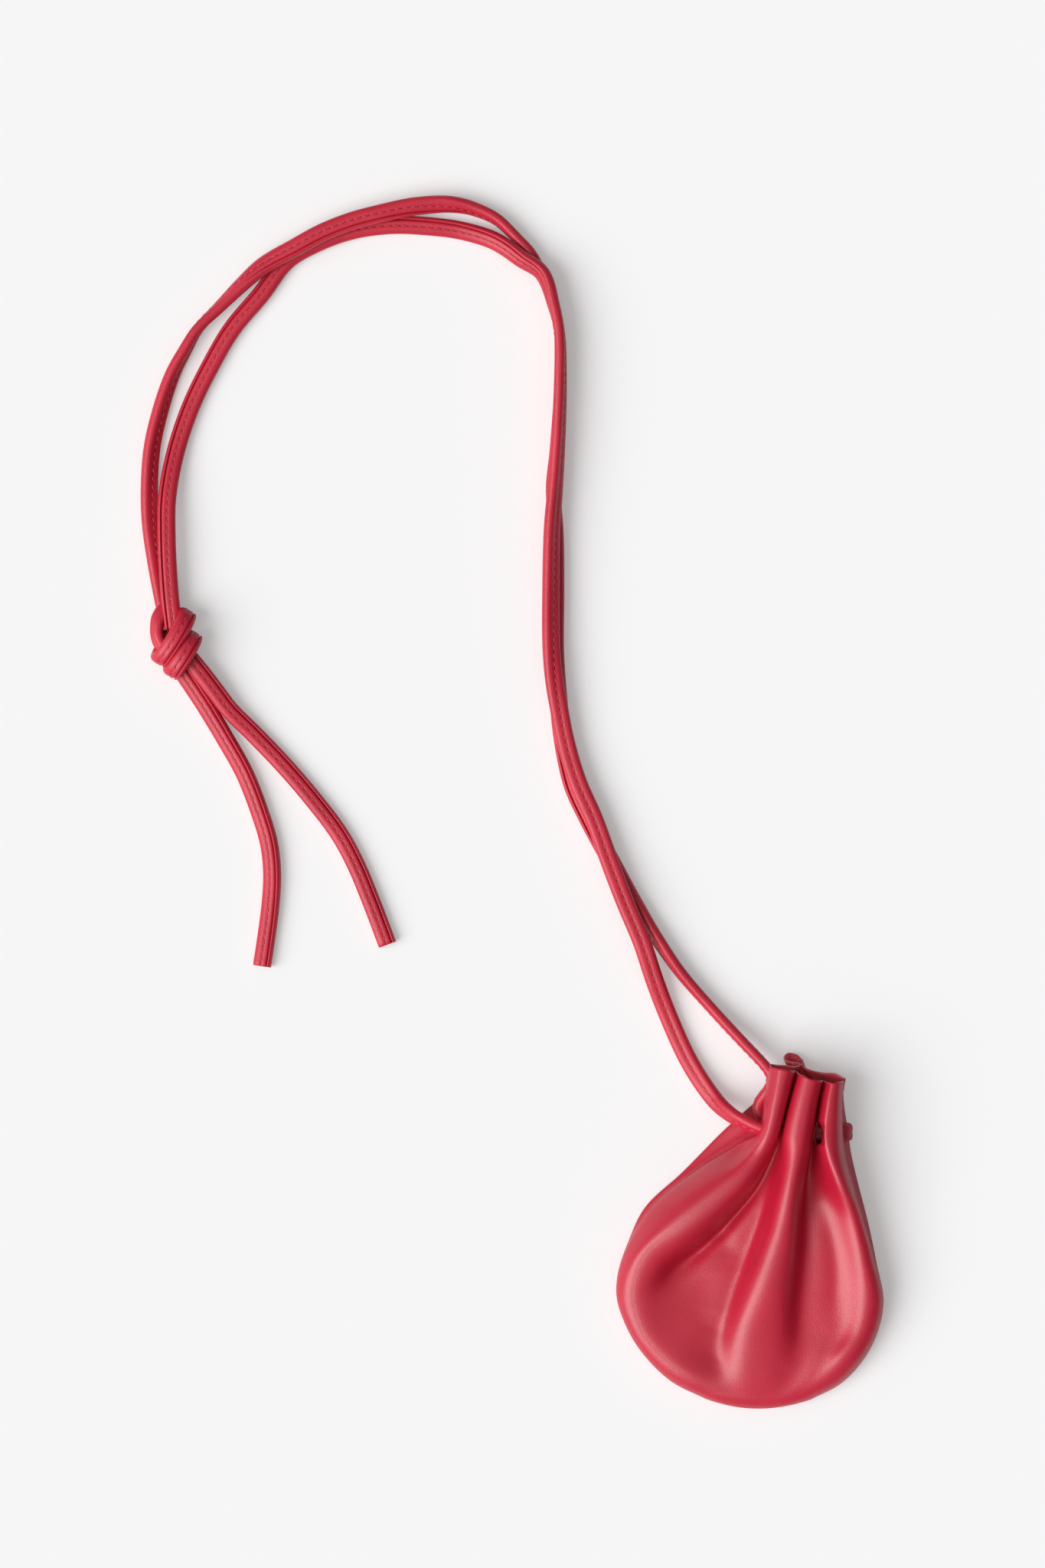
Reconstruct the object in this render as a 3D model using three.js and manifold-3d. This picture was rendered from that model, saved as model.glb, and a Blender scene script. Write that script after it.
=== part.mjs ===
// A small leather drawstring pouch that lies on its back, with its long flat drawcord laid out on the floor.
// Millimetres, +Z up. The pouch's mouth points to +Y and its front faces up. The floor is z = 0.
import * as THREE from "three";
import { mergeVertices } from "three/addons/utils/BufferGeometryUtils.js";
import Module from "manifold-3d";

const wasm = await Module();
wasm.setup();
const { Manifold, Mesh: SolidMesh } = wasm;

// Main sizes of the pouch: its body below the cinch, and its neck from the cinch to the rim.
const BODY_WIDTH = 116;
const BODY_LENGTH = 120;
const NECK_LENGTH = 29;

// Leather of the pouch.
const WALL = 1.0;
const NECK_CREST = 27;
const NECK_VALLEY = 15.6;
const NECK_BACK_VALLEY = 9;
const SIDE_CREST_DROP = 2;

// Drawcord: one strip of leather folded flat, stitched, and woven through the neck.
const CORD_WIDTH = 8;
const CORD_THICKNESS = 4.5;
const CORD_CHAMFER = 1.3;
const SLOT_CLEARANCE = 0.5;
const JOINT_GAP = 0.5;
const FLOOR_GAP = 0.1;

// Where the cord crosses the neck.
const CINCH_Y = 43.3;
const FRONT_SLOT_Z = 19.2;
const BACK_SLOT_Z = 5.4;
const NECK_LEFT_X = 3.7;
const NECK_RIGHT_X = 39.3;
const LACING_MIDDLE_X = 15;
const UPPER_END = 0.6;
const LOWER_END = 10;
const CUTTER_EXTRA = 3;
const TURN_START = 3;
const TURN_DROP = 0.7;
const TURN_HALF_HEIGHT = 2.6;

// Knot that joins the two runs.
const KNOT_CENTRE = [-250, 256.5];
const KNOT_WIDTH = 20;
const KNOT_LENGTH = 33;
const KNOT_HEIGHT = 15;
const KNOT_TURN = 9;
const KNOT_SINK = 1;
const KNOT_SEGMENTS = 16;

// How finely the pouch and the cord are drawn.
const RINGS_PER_STATION = 2;
const COLUMNS_PER_POINT = 3;
const RUN_STEPS = 34;
const TAIL_STEPS = 7;
const LACING_STEPS = 18;

const POUCH_ROUGHNESS = 0.48;
const CORD_ROUGHNESS = 0.5;

// Heights of the cord's middle: on the floor, and on top of another strand.
const LOW = FLOOR_GAP + CORD_THICKNESS / 2;
const HIGH = LOW + CORD_THICKNESS + JOINT_GAP;

const leather = (name, roughness) =>
  new THREE.MeshStandardMaterial({ name, color: new THREE.Color("#be1e34"), roughness, metalness: 0 });

// The stations below are drawn for these sizes, and are stretched to the main sizes above.
const DRAWN = { width: 116, body: 120, neck: 29, middleX: 21.5 };

// Stations run from the rim to the bottom lip. Each one gives the points that its folds pass through.
// full says how upright the flutes' walls are: 1 is a tube, 0 is a gentle wave.
// flank1 is given where the left flute hangs out over the side fold, so that the cord can pass under it.
// edge is the height of the side folds and back is the depth of the gathers underneath.
const STATIONS = [
  {
    left: [13, 70.5], flank1: [8.2, 71.3, 19.5], crest1: [13.3, 71, NECK_CREST - SIDE_CREST_DROP],
    valley1: [18.2, 71.7, NECK_VALLEY + 1.4], basin: [18.9, 72, NECK_VALLEY],
    foot2: [19.6, 71.4, NECK_VALLEY + 1.4], crest2: [25.3, 68, NECK_CREST], valley2: [31, 69.4, NECK_VALLEY],
    face3: [32.2, 68.6, 21], crest3: [35.6, 67, NECK_CREST - SIDE_CREST_DROP], right: [39.8, 67.5],
    backLeft: [9, 71], full: 1, edge: 12.5, back: NECK_BACK_VALLEY, bow: 5,
  },
  {
    left: [11.6, 58], flank1: [6.4, 58.3, 19.5], crest1: [11, 58, NECK_CREST - SIDE_CREST_DROP],
    valley1: [16.2, 57.7, NECK_VALLEY + 1.4], basin: [16.9, 57.7, NECK_VALLEY],
    foot2: [17.6, 57.7, NECK_VALLEY + 1.4], crest2: [23.2, 57.3, NECK_CREST],
    valley2: [29.6, 57.3, NECK_VALLEY],
    face3: [30.9, 57.3, 21], crest3: [34.9, 57.3, NECK_CREST - SIDE_CREST_DROP], right: [39.6, 57],
    backLeft: [4.5, 58], full: 1, edge: 12.5, back: NECK_BACK_VALLEY, bow: 2,
  },
  {
    left: [NECK_LEFT_X, CINCH_Y], crest1: [8.2, CINCH_Y, NECK_CREST - SIDE_CREST_DROP],
    valley1: [13.5, CINCH_Y, NECK_VALLEY + 1.4], basin: [14.2, CINCH_Y, NECK_VALLEY],
    foot2: [14.9, CINCH_Y, NECK_VALLEY + 1.4], crest2: [20.8, CINCH_Y, NECK_CREST],
    valley2: [27.2, CINCH_Y, NECK_VALLEY], face3: [28.8, CINCH_Y, 20.5],
    crest3: [33.6, CINCH_Y, NECK_CREST - SIDE_CREST_DROP / 2], right: [NECK_RIGHT_X, CINCH_Y],
    backLeft: [0.5, CINCH_Y + 2], full: 1, edge: 12.5, back: NECK_BACK_VALLEY, bow: 0,
  },
  {
    left: [-6, 36], crest1: [2.7, 35, 23.5], valley1: [10.2, 36, 15], basin: [11.2, 36, 14.2],
    foot2: [12.2, 36, 15.5],
    crest2: [18.9, 35.7, NECK_CREST], valley2: [27, 35, 14.5], face3: [28.8, 35, 19.5],
    crest3: [34, 35, 26.6],
    right: [42.3, 34.3], backLeft: [-14, 38], full: 0.9, edge: 9, back: 5, bow: 0,
  },
  {
    left: [-28.3, 22.7], crest1: [-8, 22.5, 22], valley1: [0.7, 21, 13], basin: [4.5, 22, 12.8],
    foot2: [8.8, 22, 14],
    crest2: [16.2, 22, 27.4], valley2: [24.7, 22.7, 13], face3: [27.8, 22.7, 18.5], crest3: [36, 22.7, 27.4],
    right: [47, 21], backLeft: [-31.7, 23.5], full: 0.7, edge: 7, back: 2, bow: 0,
  },
  {
    left: [-44.7, 7.4], crest1: [-30.5, 6.7, 18.5], valley1: [-16.7, 2.7, 10.5], basin: [-6, 3.7, 11],
    foot2: [4, 5.3, 13],
    crest2: [12.7, 6, 28], valley2: [22.7, 6, 13], face3: [28, 6, 19], crest3: [40.3, 6.7, 28],
    right: [51.6, 6], backLeft: [-46.5, 8.2], full: 0.55, edge: 6.5, back: 0, bow: 0,
  },
  {
    left: [-54.6, -12.3], crest1: [-48.3, -10, 14.5], valley1: [-38.5, -15.5, 9], basin: [-23.3, -14, 9],
    foot2: [-2, -12.3, 12], crest2: [8, -10.7, 27], valley2: [20.3, -10.7, 14], face3: [30, -10.7, 20],
    crest3: [43.5, -10.7, 27.4], right: [55.8, -11.7], backLeft: [-55, -12.3], full: 0.45, edge: 6.5,
    back: 0, bow: 0,
  },
  {
    left: [-58, -27.3], crest1: [-54, -27.3, 12.6], valley1: [-43, -27.3, 8.5], basin: [-26.7, -29, 8.5],
    foot2: [-7.7, -28, 11], crest2: [3, -27.3, 24], valley2: [19.7, -27.3, 15.5], face3: [30.7, -27.3, 20],
    crest3: [43.3, -28, 25], right: [58, -29], backLeft: [-57.8, -27.3], full: 0.4, edge: 6.5, back: 0,
    bow: 0,
  },
  {
    left: [-54.3, -42.3], crest1: [-49.7, -43, 12], valley1: [-39.3, -42.3, 8.6], basin: [-25, -42.3, 9],
    foot2: [-11.7, -42.3, 11], crest2: [-2.7, -43, 19.5], valley2: [19, -43, 15], face3: [29.3, -43, 18],
    crest3: [39.7, -43, 21], right: [56, -43.3], backLeft: [-54, -42.3], full: 0.35, edge: 6.3, back: 0,
    bow: 0,
  },
  {
    left: [-45, -54], crest1: [-40.7, -53.3, 11.5], valley1: [-31.7, -53.3, 9.5], basin: [-21.7, -54.7, 9.5],
    foot2: [-13.3, -56, 10.5], crest2: [-4, -56.7, 14.5], valley2: [19, -57.3, 12.5], face3: [25, -56.7, 14],
    crest3: [32.7, -54.7, 16], right: [50, -56], backLeft: [-44.7, -54], full: 0.3, edge: 6, back: 0, bow: -3,
  },
  {
    left: [-33.3, -64.3], crest1: [-29.3, -63, 10.8], valley1: [-22.7, -64.3, 10.3],
    basin: [-16.7, -65.7, 10.3],
    foot2: [-11, -66.3, 10.6], crest2: [-4, -66.7, 11.6], valley2: [16.7, -66.7, 10.6], face3: [21, -66, 11],
    crest3: [26.5, -65, 11.8], right: [39.3, -66], backLeft: [-33, -64.3], full: 0.3, edge: 5.6, back: 0,
    bow: -3,
  },
  {
    left: [-18.3, -72.6], crest1: [-15.5, -72.4, 8.4], valley1: [-11.7, -73, 8.6], basin: [-8.3, -73.6, 8.7],
    foot2: [-5, -74, 8.8], crest2: [-1, -74.3, 9], valley2: [11, -74.4, 8.8], face3: [14.5, -74, 8.7],
    crest3: [18, -73.5, 8.6], right: [25, -73.4], backLeft: [-18, -72.6], full: 0.3, edge: 5.2, back: 1.6,
    bow: -2,
  },
];
const LIP_POINT = [3.3, -77, 5.2];
const FIRST_BODY_STATION = 3;
const INNER_RINGS_LEFT_OUT = 2;
const INNER_LIP_REACH = 1.5;

// How far the inner shoulders of a flute lean out to its valley, from a gentle wave to an upright tube.
const SHOULDER_REACH = [0.5, 0.35];
const SHOULDER_DROP = [0.5, 0.16];
const SIDE_REACH = 0.8;
const SIDE_DROP = 0.42;

// Places of the back's points, as shares of the way from the right fold to the left one.
const BACK_PLACES = [0.09, 0.23, 0.37, 0.51, 0.65, 0.79, 0.93];
const BACK_TURN_HEIGHT = 0.22;

const blend = (from, to, share) => from + (to - from) * share;

// The point between a crest and the valley beside it.
function shoulder(crest, valley, full) {
  const reach = SHOULDER_REACH[0] + SHOULDER_REACH[1] * full;
  const drop = SHOULDER_DROP[0] - SHOULDER_DROP[1] * full;
  return [
    blend(crest[0], valley[0], reach),
    blend(crest[1], valley[1], reach),
    blend(crest[2], valley[2], drop),
  ];
}

// The point between an outer crest and the side fold, where the leather turns over.
function side(crest, edge) {
  return [
    blend(crest[0], edge[0], SIDE_REACH),
    blend(crest[1], edge[1], SIDE_REACH),
    blend(crest[2], edge[2], SIDE_DROP),
  ];
}

// Stretches a drawn point of the neck or of the body to the main sizes.
function stretched(p, isBody) {
  const alongY = isBody ? BODY_LENGTH / DRAWN.body : NECK_LENGTH / DRAWN.neck;
  const alongX = isBody ? BODY_WIDTH / DRAWN.width : 1;
  return new THREE.Vector3(
    DRAWN.middleX + (p[0] - DRAWN.middleX) * alongX,
    CINCH_Y + (p[1] - CINCH_Y) * alongY,
    p[2],
  );
}

// All points of one station in order: over the front from left to right, then back underneath.
function stationPoints(s, index) {
  const left = [...s.left, s.edge];
  const right = [...s.right, s.edge];
  const front = [
    left,
    s.flank1 ?? side(s.crest1, left),
    s.crest1,
    shoulder(s.crest1, s.valley1, s.full),
    s.valley1,
    s.basin,
    s.foot2,
    shoulder(s.crest2, s.foot2, s.full),
    s.crest2,
    shoulder(s.crest2, s.valley2, s.full),
    s.valley2,
    s.face3,
    s.crest3,
    side(s.crest3, right),
    right,
  ];
  const back = BACK_PLACES.map((share, i) => {
    const last = i === BACK_PLACES.length - 1;
    const isValley = i % 2 === 0 && i > 0 && !last;
    const isTurn = i === 0 || last;
    const bow = s.bow * 4 * share * (1 - share);
    const height = isTurn ? s.edge * BACK_TURN_HEIGHT : isValley ? s.back : 0;
    return [blend(s.right[0], s.backLeft[0], share), blend(s.right[1], s.backLeft[1], share) + bow, height];
  });
  return [...front, ...back].map((p) => stretched(p, index >= FIRST_BODY_STATION));
}

// Rings of points for the outside of the pouch, smooth both along it and around it.
function outerRings() {
  const stations = STATIONS.map(stationPoints);
  const around = stations[0].length;
  const steps = (stations.length - 1) * RINGS_PER_STATION;
  const lines = [];
  for (let i = 0; i < around; i++) {
    const line = new THREE.CatmullRomCurve3(stations.map((s) => s[i]), false, "centripetal");
    lines.push(Array.from({ length: steps + 1 }, (_, k) => line.getPoint(k / steps)));
  }
  const columns = around * COLUMNS_PER_POINT;
  const rings = [];
  for (let k = 0; k <= steps; k++) {
    const ring = new THREE.CatmullRomCurve3(lines.map((line) => line[k]), true, "centripetal");
    const points = Array.from({ length: columns }, (_, c) => ring.getPoint(c / columns));
    points.forEach((p) => (p.z = Math.max(p.z, 0)));
    rings.push(points);
  }
  return rings;
}

// The inside face: each point is moved in by the wall along the surface's own direction.
function innerRings(rings, wall) {
  const columns = rings[0].length;
  return rings.map((ring, k) => {
    const above = rings[Math.max(k - 1, 0)];
    const below = rings[Math.min(k + 1, rings.length - 1)];
    return ring.map((p, c) => {
      const along = below[c].clone().sub(above[c]);
      const across = ring[(c + 1) % columns].clone().sub(ring[(c + columns - 1) % columns]);
      return p.clone().addScaledVector(along.cross(across).normalize(), -wall);
    });
  });
}

// One closed solid from faces given as triangles.
function solidFrom(positions, faces) {
  const geometry = new THREE.BufferGeometry();
  geometry.setAttribute("position", new THREE.Float32BufferAttribute(positions, 3));
  geometry.setIndex(faces);
  return toSolid(geometry);
}

function toSolid(geometry) {
  const bare = geometry.clone();
  bare.deleteAttribute("normal");
  bare.deleteAttribute("uv");
  const merged = mergeVertices(bare, 1e-3);
  return new Manifold(
    new SolidMesh({
      numProp: 3,
      vertProperties: new Float32Array(merged.attributes.position.array),
      triVerts: new Uint32Array(merged.index.array),
    }),
  );
}

function toGeometry(solid) {
  const mesh = solid.getMesh();
  const geometry = new THREE.BufferGeometry();
  geometry.setAttribute("position", new THREE.BufferAttribute(new Float32Array(mesh.vertProperties), 3));
  geometry.setIndex(new THREE.BufferAttribute(new Uint32Array(mesh.triVerts), 1));
  const flat = geometry.toNonIndexed();
  flat.computeVertexNormals();
  return flat;
}

// The leather shell: outside, inside, the cut rim between them, and a closed bottom on each.
function pouchShell() {
  const outer = outerRings();
  const inner = innerRings(outer, WALL).slice(0, -INNER_RINGS_LEFT_OUT);
  const columns = outer[0].length;
  const positions = [];
  [...outer, ...inner].forEach((ring) => ring.forEach((p) => positions.push(p.x, p.y, p.z)));
  const innerStart = outer.length * columns;
  const lip = positions.length / 3;
  positions.push(...stretched(LIP_POINT, true));
  const innerLip = lip + 1;
  const lastInner = inner[inner.length - 1];
  const middle = lastInner.reduce((sum, p) => sum.add(p), new THREE.Vector3()).divideScalar(columns);
  positions.push(middle.x, middle.y - INNER_LIP_REACH, middle.z);
  const faces = [];
  const quad = (a, b, c, d) => faces.push(a, b, c, a, c, d);
  for (let c = 0; c < columns; c++) {
    const n = (c + 1) % columns;
    for (let k = 0; k < outer.length - 1; k++) {
      quad(k * columns + c, (k + 1) * columns + c, (k + 1) * columns + n, k * columns + n);
    }
    for (let k = 0; k < inner.length - 1; k++) {
      const here = innerStart + k * columns;
      quad(here + c, here + n, here + columns + n, here + columns + c);
    }
    quad(c, n, innerStart + n, innerStart + c);
    const outerEnd = (outer.length - 1) * columns;
    faces.push(outerEnd + c, lip, outerEnd + n);
    const innerEnd = innerStart + (inner.length - 1) * columns;
    faces.push(innerEnd + c, innerEnd + n, innerLip);
  }
  return solidFrom(positions, faces);
}

// The cord's cross-section: flat, with its long edges rounded off. x is through the cord, y is across it.
// room is added on every side, for the slots that the cord passes through.
function cordSection(room) {
  const t = CORD_THICKNESS / 2 + room;
  const w = CORD_WIDTH / 2 + room;
  const c = CORD_CHAMFER;
  return new THREE.Shape([
    new THREE.Vector2(t, w - c),
    new THREE.Vector2(t - c, w),
    new THREE.Vector2(c - t, w),
    new THREE.Vector2(-t, w - c),
    new THREE.Vector2(-t, c - w),
    new THREE.Vector2(c - t, -w),
    new THREE.Vector2(t - c, -w),
    new THREE.Vector2(t, c - w),
  ]);
}

// A route whose cord never rolls over or sinks: its width stays level, or along the given direction.
class CordRoute extends THREE.CatmullRomCurve3 {
  constructor(points, widthDirection) {
    super(points.map((p) => new THREE.Vector3(...p)), false, "centripetal");
    this.widthDirection = widthDirection;
  }

  getPoint(t, target) {
    const point = super.getPoint(t, target);
    point.z = Math.max(point.z, LOW);
    return point;
  }

  computeFrenetFrames(segments) {
    const up = new THREE.Vector3(0, 0, 1);
    const places = Array.from({ length: segments + 1 }, (_, i) => i / segments);
    const tangents = places.map((place) => this.getTangentAt(place).normalize());
    const binormals = tangents.map((t) => this.widthDirection ?? up.clone().cross(t).normalize());
    const normals = tangents.map((t, i) => binormals[i].clone().cross(t).normalize());
    return { tangents, normals, binormals };
  }
}

function cordAlong(points, steps, widthDirection, room = 0) {
  const extrudePath = new CordRoute(points, widthDirection);
  return new THREE.ExtrudeGeometry(cordSection(room), { steps, bevelEnabled: false, extrudePath });
}

// The front run leaves the left side of the neck and ends in the knot.
const FRONT_RUN = [
  [0.4, 43.4, FRONT_SLOT_Z - 0.3],
  [-2.6, 45.3, FRONT_SLOT_Z - 2.6],
  [-9, 50.2, 12.4],
  [-17, 59.3, 5],
  [-27, 75, LOW],
  [-35.7, 93.7, LOW + 1],
  [-41.7, 109.3, HIGH - 1],
  [-47.3, 126, HIGH],
  [-54.3, 142.7, HIGH],
  [-60.7, 159.3, HIGH],
  [-68, 179.3, HIGH],
  [-75.3, 196, HIGH],
  [-80.3, 212.7, HIGH],
  [-83, 226, HIGH],
  [-85.3, 239.3, HIGH],
  [-86.7, 256, HIGH],
  [-86.8, 282.7, HIGH],
  [-86.3, 306, HIGH],
  [-85, 322.7, HIGH],
  [-83.5, 346, HIGH],
  [-82.7, 369.3, HIGH],
  [-83, 389.3, HIGH],
  [-85.7, 402.7, HIGH],
  [-91, 417, HIGH],
  [-100, 423.3, HIGH],
  [-107, 428.5, HIGH],
  [-113.3, 432, HIGH - 1.5],
  [-126.7, 436, LOW],
  [-140, 437.7, LOW],
  [-156.7, 438.3, LOW],
  [-173.3, 436, LOW],
  [-188.3, 430.7, LOW],
  [-202, 422.7, LOW],
  [-213, 408.3, LOW],
  [-226, 392.7, LOW],
  [-235.7, 376, LOW],
  [-243.7, 359.3, LOW],
  [-250.3, 339.3, LOW + 1.5],
  [-253.8, 319.3, HIGH],
  [-254, 302.7, HIGH],
  [-253.3, 286, HIGH],
  [-252.3, 273.2, HIGH],
];

// The back run leaves the neck behind the left flute, lies under the front one, and ends in the knot.
const BACK_RUN = [
  [-3, CINCH_Y + CORD_WIDTH / 2 + 3 * JOINT_GAP, BACK_SLOT_Z],
  [-3.3, 51.5, BACK_SLOT_Z + 0.5],
  [-1.6, 58, 10.6],
  [2.6, 64, 12.3],
  [5.4, 70, 12.3],
  [3.2, 76, 10.5],
  [-5, 85, 6.5],
  [-16.7, 96.7, LOW],
  [-30, 112, LOW],
  [-40, 126.3, LOW],
  [-50.3, 142.7, LOW],
  [-61, 161, LOW],
  [-71.3, 179.7, LOW],
  [-77.3, 193.3, LOW],
  [-80.7, 206, LOW],
  [-82.3, 219.3, LOW],
  [-83.7, 236, LOW],
  [-84.3, 252.7, LOW],
  [-84, 279.3, LOW],
  [-84.3, 302.7, LOW],
  [-85.7, 322.7, LOW],
  [-84.3, 339.3, LOW],
  [-83, 362.7, LOW],
  [-82.3, 376, LOW],
  [-83, 391, LOW],
  [-86, 406, LOW],
  [-90, 415.7, LOW],
  [-95.7, 426, LOW],
  [-101, 431.7, LOW],
  [-110, 440.3, LOW],
  [-120, 445, LOW],
  [-130, 447, LOW],
  [-140, 446.7, LOW + 3],
  [-150, 445.3, HIGH],
  [-160, 443, HIGH],
  [-172.7, 439.7, HIGH],
  [-185.7, 434.7, HIGH],
  [-198.7, 427.7, HIGH],
  [-210.7, 421, HIGH],
  [-221.3, 412.3, LOW + 3],
  [-231.7, 402, LOW],
  [-240.7, 392.7, LOW],
  [-246, 383.7, LOW],
  [-251.7, 372.7, LOW],
  [-256.3, 359.3, LOW],
  [-260.3, 342.7, LOW],
  [-261.7, 326, LOW],
  [-261.3, 309.3, LOW],
  [-259, 292.7, LOW],
  [-255.7, 277.7, LOW],
  [-254.6, 272.4, LOW],
];

const LEFT_TAIL = [
  [-245.2, 241.2, LOW],
  [-237.8, 228.8, LOW],
  [-228.3, 213.7, LOW],
  [-220.3, 199.3, LOW],
  [-214, 183.3, LOW],
  [-209.7, 169, LOW],
  [-208.3, 155.7, LOW],
  [-209, 142, LOW],
  [-210.7, 128.7, LOW],
  [-212.7, 115.3, LOW],
];

const RIGHT_TAIL = [
  [-239.9, 244.4, HIGH],
  [-234, 236, HIGH],
  [-226.7, 227, HIGH - 1],
  [-216, 216.3, LOW + 1],
  [-203.3, 203, LOW],
  [-191, 188.7, LOW],
  [-179.3, 173.3, LOW],
  [-172, 160, LOW],
  [-165.3, 144, LOW],
  [-158, 124.7, LOW],
];

// The woven stretch goes right through the front flutes, round the neck's right side and back below.
// extra makes both ends longer, for the cutter of the slots.
function lacingPath(extra) {
  const turn = NECK_RIGHT_X + SLOT_CLEARANCE + CORD_THICKNESS / 2;
  const middleZ = (FRONT_SLOT_Z + BACK_SLOT_Z) / 2;
  return [
    [NECK_LEFT_X - UPPER_END - extra, CINCH_Y, FRONT_SLOT_Z],
    [LACING_MIDDLE_X, CINCH_Y, FRONT_SLOT_Z],
    [NECK_RIGHT_X - TURN_START, CINCH_Y, FRONT_SLOT_Z],
    [NECK_RIGHT_X, CINCH_Y, FRONT_SLOT_Z - TURN_DROP],
    [turn, CINCH_Y, middleZ + TURN_HALF_HEIGHT],
    [turn, CINCH_Y, middleZ - TURN_HALF_HEIGHT],
    [NECK_RIGHT_X, CINCH_Y, BACK_SLOT_Z + TURN_DROP],
    [NECK_RIGHT_X - TURN_START, CINCH_Y, BACK_SLOT_Z],
    [LACING_MIDDLE_X, CINCH_Y, BACK_SLOT_Z],
    [NECK_LEFT_X - LOWER_END - extra, CINCH_Y, BACK_SLOT_Z],
  ];
}
const ALONG_NECK = new THREE.Vector3(0, 1, 0);

// The knot is a rounded lump with a flat base.
function knotSolid() {
  const lump = Manifold.sphere(1, KNOT_SEGMENTS).scale([KNOT_WIDTH / 2, KNOT_LENGTH / 2, KNOT_HEIGHT / 2]);
  const placed = lump.rotate([0, 0, KNOT_TURN]).translate([...KNOT_CENTRE, KNOT_HEIGHT / 2 - KNOT_SINK]);
  return placed.trimByPlane([0, 0, 1], FLOOR_GAP);
}

function named(name, geometry, roughness) {
  const mesh = new THREE.Mesh(geometry, leather(name, roughness));
  mesh.name = name;
  return mesh;
}

// Every slot is the cord's own shape with its clearance, cut out of the flutes' walls.
const slots = toSolid(cordAlong(lacingPath(CUTTER_EXTRA), LACING_STEPS, ALONG_NECK, SLOT_CLEARANCE));
const shell = pouchShell().subtract(slots);

const pouch = named("pouch_body", toGeometry(shell), POUCH_ROUGHNESS);
const layout = new THREE.Group();
layout.add(pouch);
layout.add(named("strap_lacing", cordAlong(lacingPath(0), LACING_STEPS, ALONG_NECK), CORD_ROUGHNESS));
layout.add(named("strap_front_run", cordAlong(FRONT_RUN, RUN_STEPS), CORD_ROUGHNESS));
layout.add(named("strap_back_run", cordAlong(BACK_RUN, RUN_STEPS), CORD_ROUGHNESS));
layout.add(named("strap_knot", toGeometry(knotSolid()), CORD_ROUGHNESS));
layout.add(named("strap_tail_left", cordAlong(LEFT_TAIL, TAIL_STEPS), CORD_ROUGHNESS));
layout.add(named("strap_tail_right", cordAlong(RIGHT_TAIL, TAIL_STEPS), CORD_ROUGHNESS));

// The part's origin is under the middle of the pouch, whatever its outline.
const middle = new THREE.Box3().setFromObject(pouch).getCenter(new THREE.Vector3());
layout.position.set(-middle.x, -middle.y, 0);

const group = new THREE.Group();
group.name = "drawstring_pouch";
group.add(layout);

export default group;
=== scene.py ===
# %% [markdown]
# # A gathered leather pouch and its long drawcord
#
# The object is a small pouch of soft red leather, lying on its back, with its neck drawn into flutes.
# A long drawcord, one strip of the same leather folded flat and stitched, is woven through the neck,
# laid out in a big loop and tied in a knot near its ends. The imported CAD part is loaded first: it fixes
# every size and place, and the pieces made here only give it its finished surface.

import math

import bmesh
import bpy
import numpy as np
from mathutils import Matrix, Vector


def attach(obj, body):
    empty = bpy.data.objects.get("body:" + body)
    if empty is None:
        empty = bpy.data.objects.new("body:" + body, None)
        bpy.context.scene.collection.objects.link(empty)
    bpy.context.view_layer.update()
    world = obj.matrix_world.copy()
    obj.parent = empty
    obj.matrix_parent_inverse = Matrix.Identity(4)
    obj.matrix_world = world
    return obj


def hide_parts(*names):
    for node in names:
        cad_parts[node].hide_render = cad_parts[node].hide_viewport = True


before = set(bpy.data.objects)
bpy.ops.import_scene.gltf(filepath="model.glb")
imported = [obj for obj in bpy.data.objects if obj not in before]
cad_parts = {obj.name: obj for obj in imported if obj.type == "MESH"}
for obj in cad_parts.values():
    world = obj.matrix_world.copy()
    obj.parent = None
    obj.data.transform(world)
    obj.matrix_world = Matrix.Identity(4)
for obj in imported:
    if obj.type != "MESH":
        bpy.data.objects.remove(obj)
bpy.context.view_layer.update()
MM = 0.001
# The source of the part centres the pouch's outline, which moves every drawn point by this much.
SHIFT = np.array([-0.0516, 1.3010, 0.0])
print("CAD nodes:", sorted(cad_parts))

# %% [markdown]
# ## Camera
#
# The photograph looks straight down on a white table. A long lens far above the table keeps the flat
# layout free of perspective, while the top of the neck still leans outwards by a millimetre or two.
# The camera is aimed at the middle of the layout, so no shift is needed.

# %% Camera above the table
CAMERA_HEIGHT = 2500.0
FRAME_HEIGHT = 2048 / 3
FOCUS_HEIGHT = 5.0
LAYOUT_MIDDLE = (-99.17, 194.67)

camera_data = bpy.data.cameras.new("camera")
camera = bpy.data.objects.new("camera", camera_data)
bpy.context.scene.collection.objects.link(camera)
bpy.context.scene.camera = camera
camera.location = [
    (LAYOUT_MIDDLE[0] + SHIFT[0]) * MM,
    (LAYOUT_MIDDLE[1] + SHIFT[1]) * MM,
    CAMERA_HEIGHT * MM,
]
camera_data.sensor_width = 36
camera_data.lens = 36 * (CAMERA_HEIGHT - FOCUS_HEIGHT) / FRAME_HEIGHT
camera_data.clip_end = 20
print("lens", round(camera_data.lens, 1), "mm")
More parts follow.
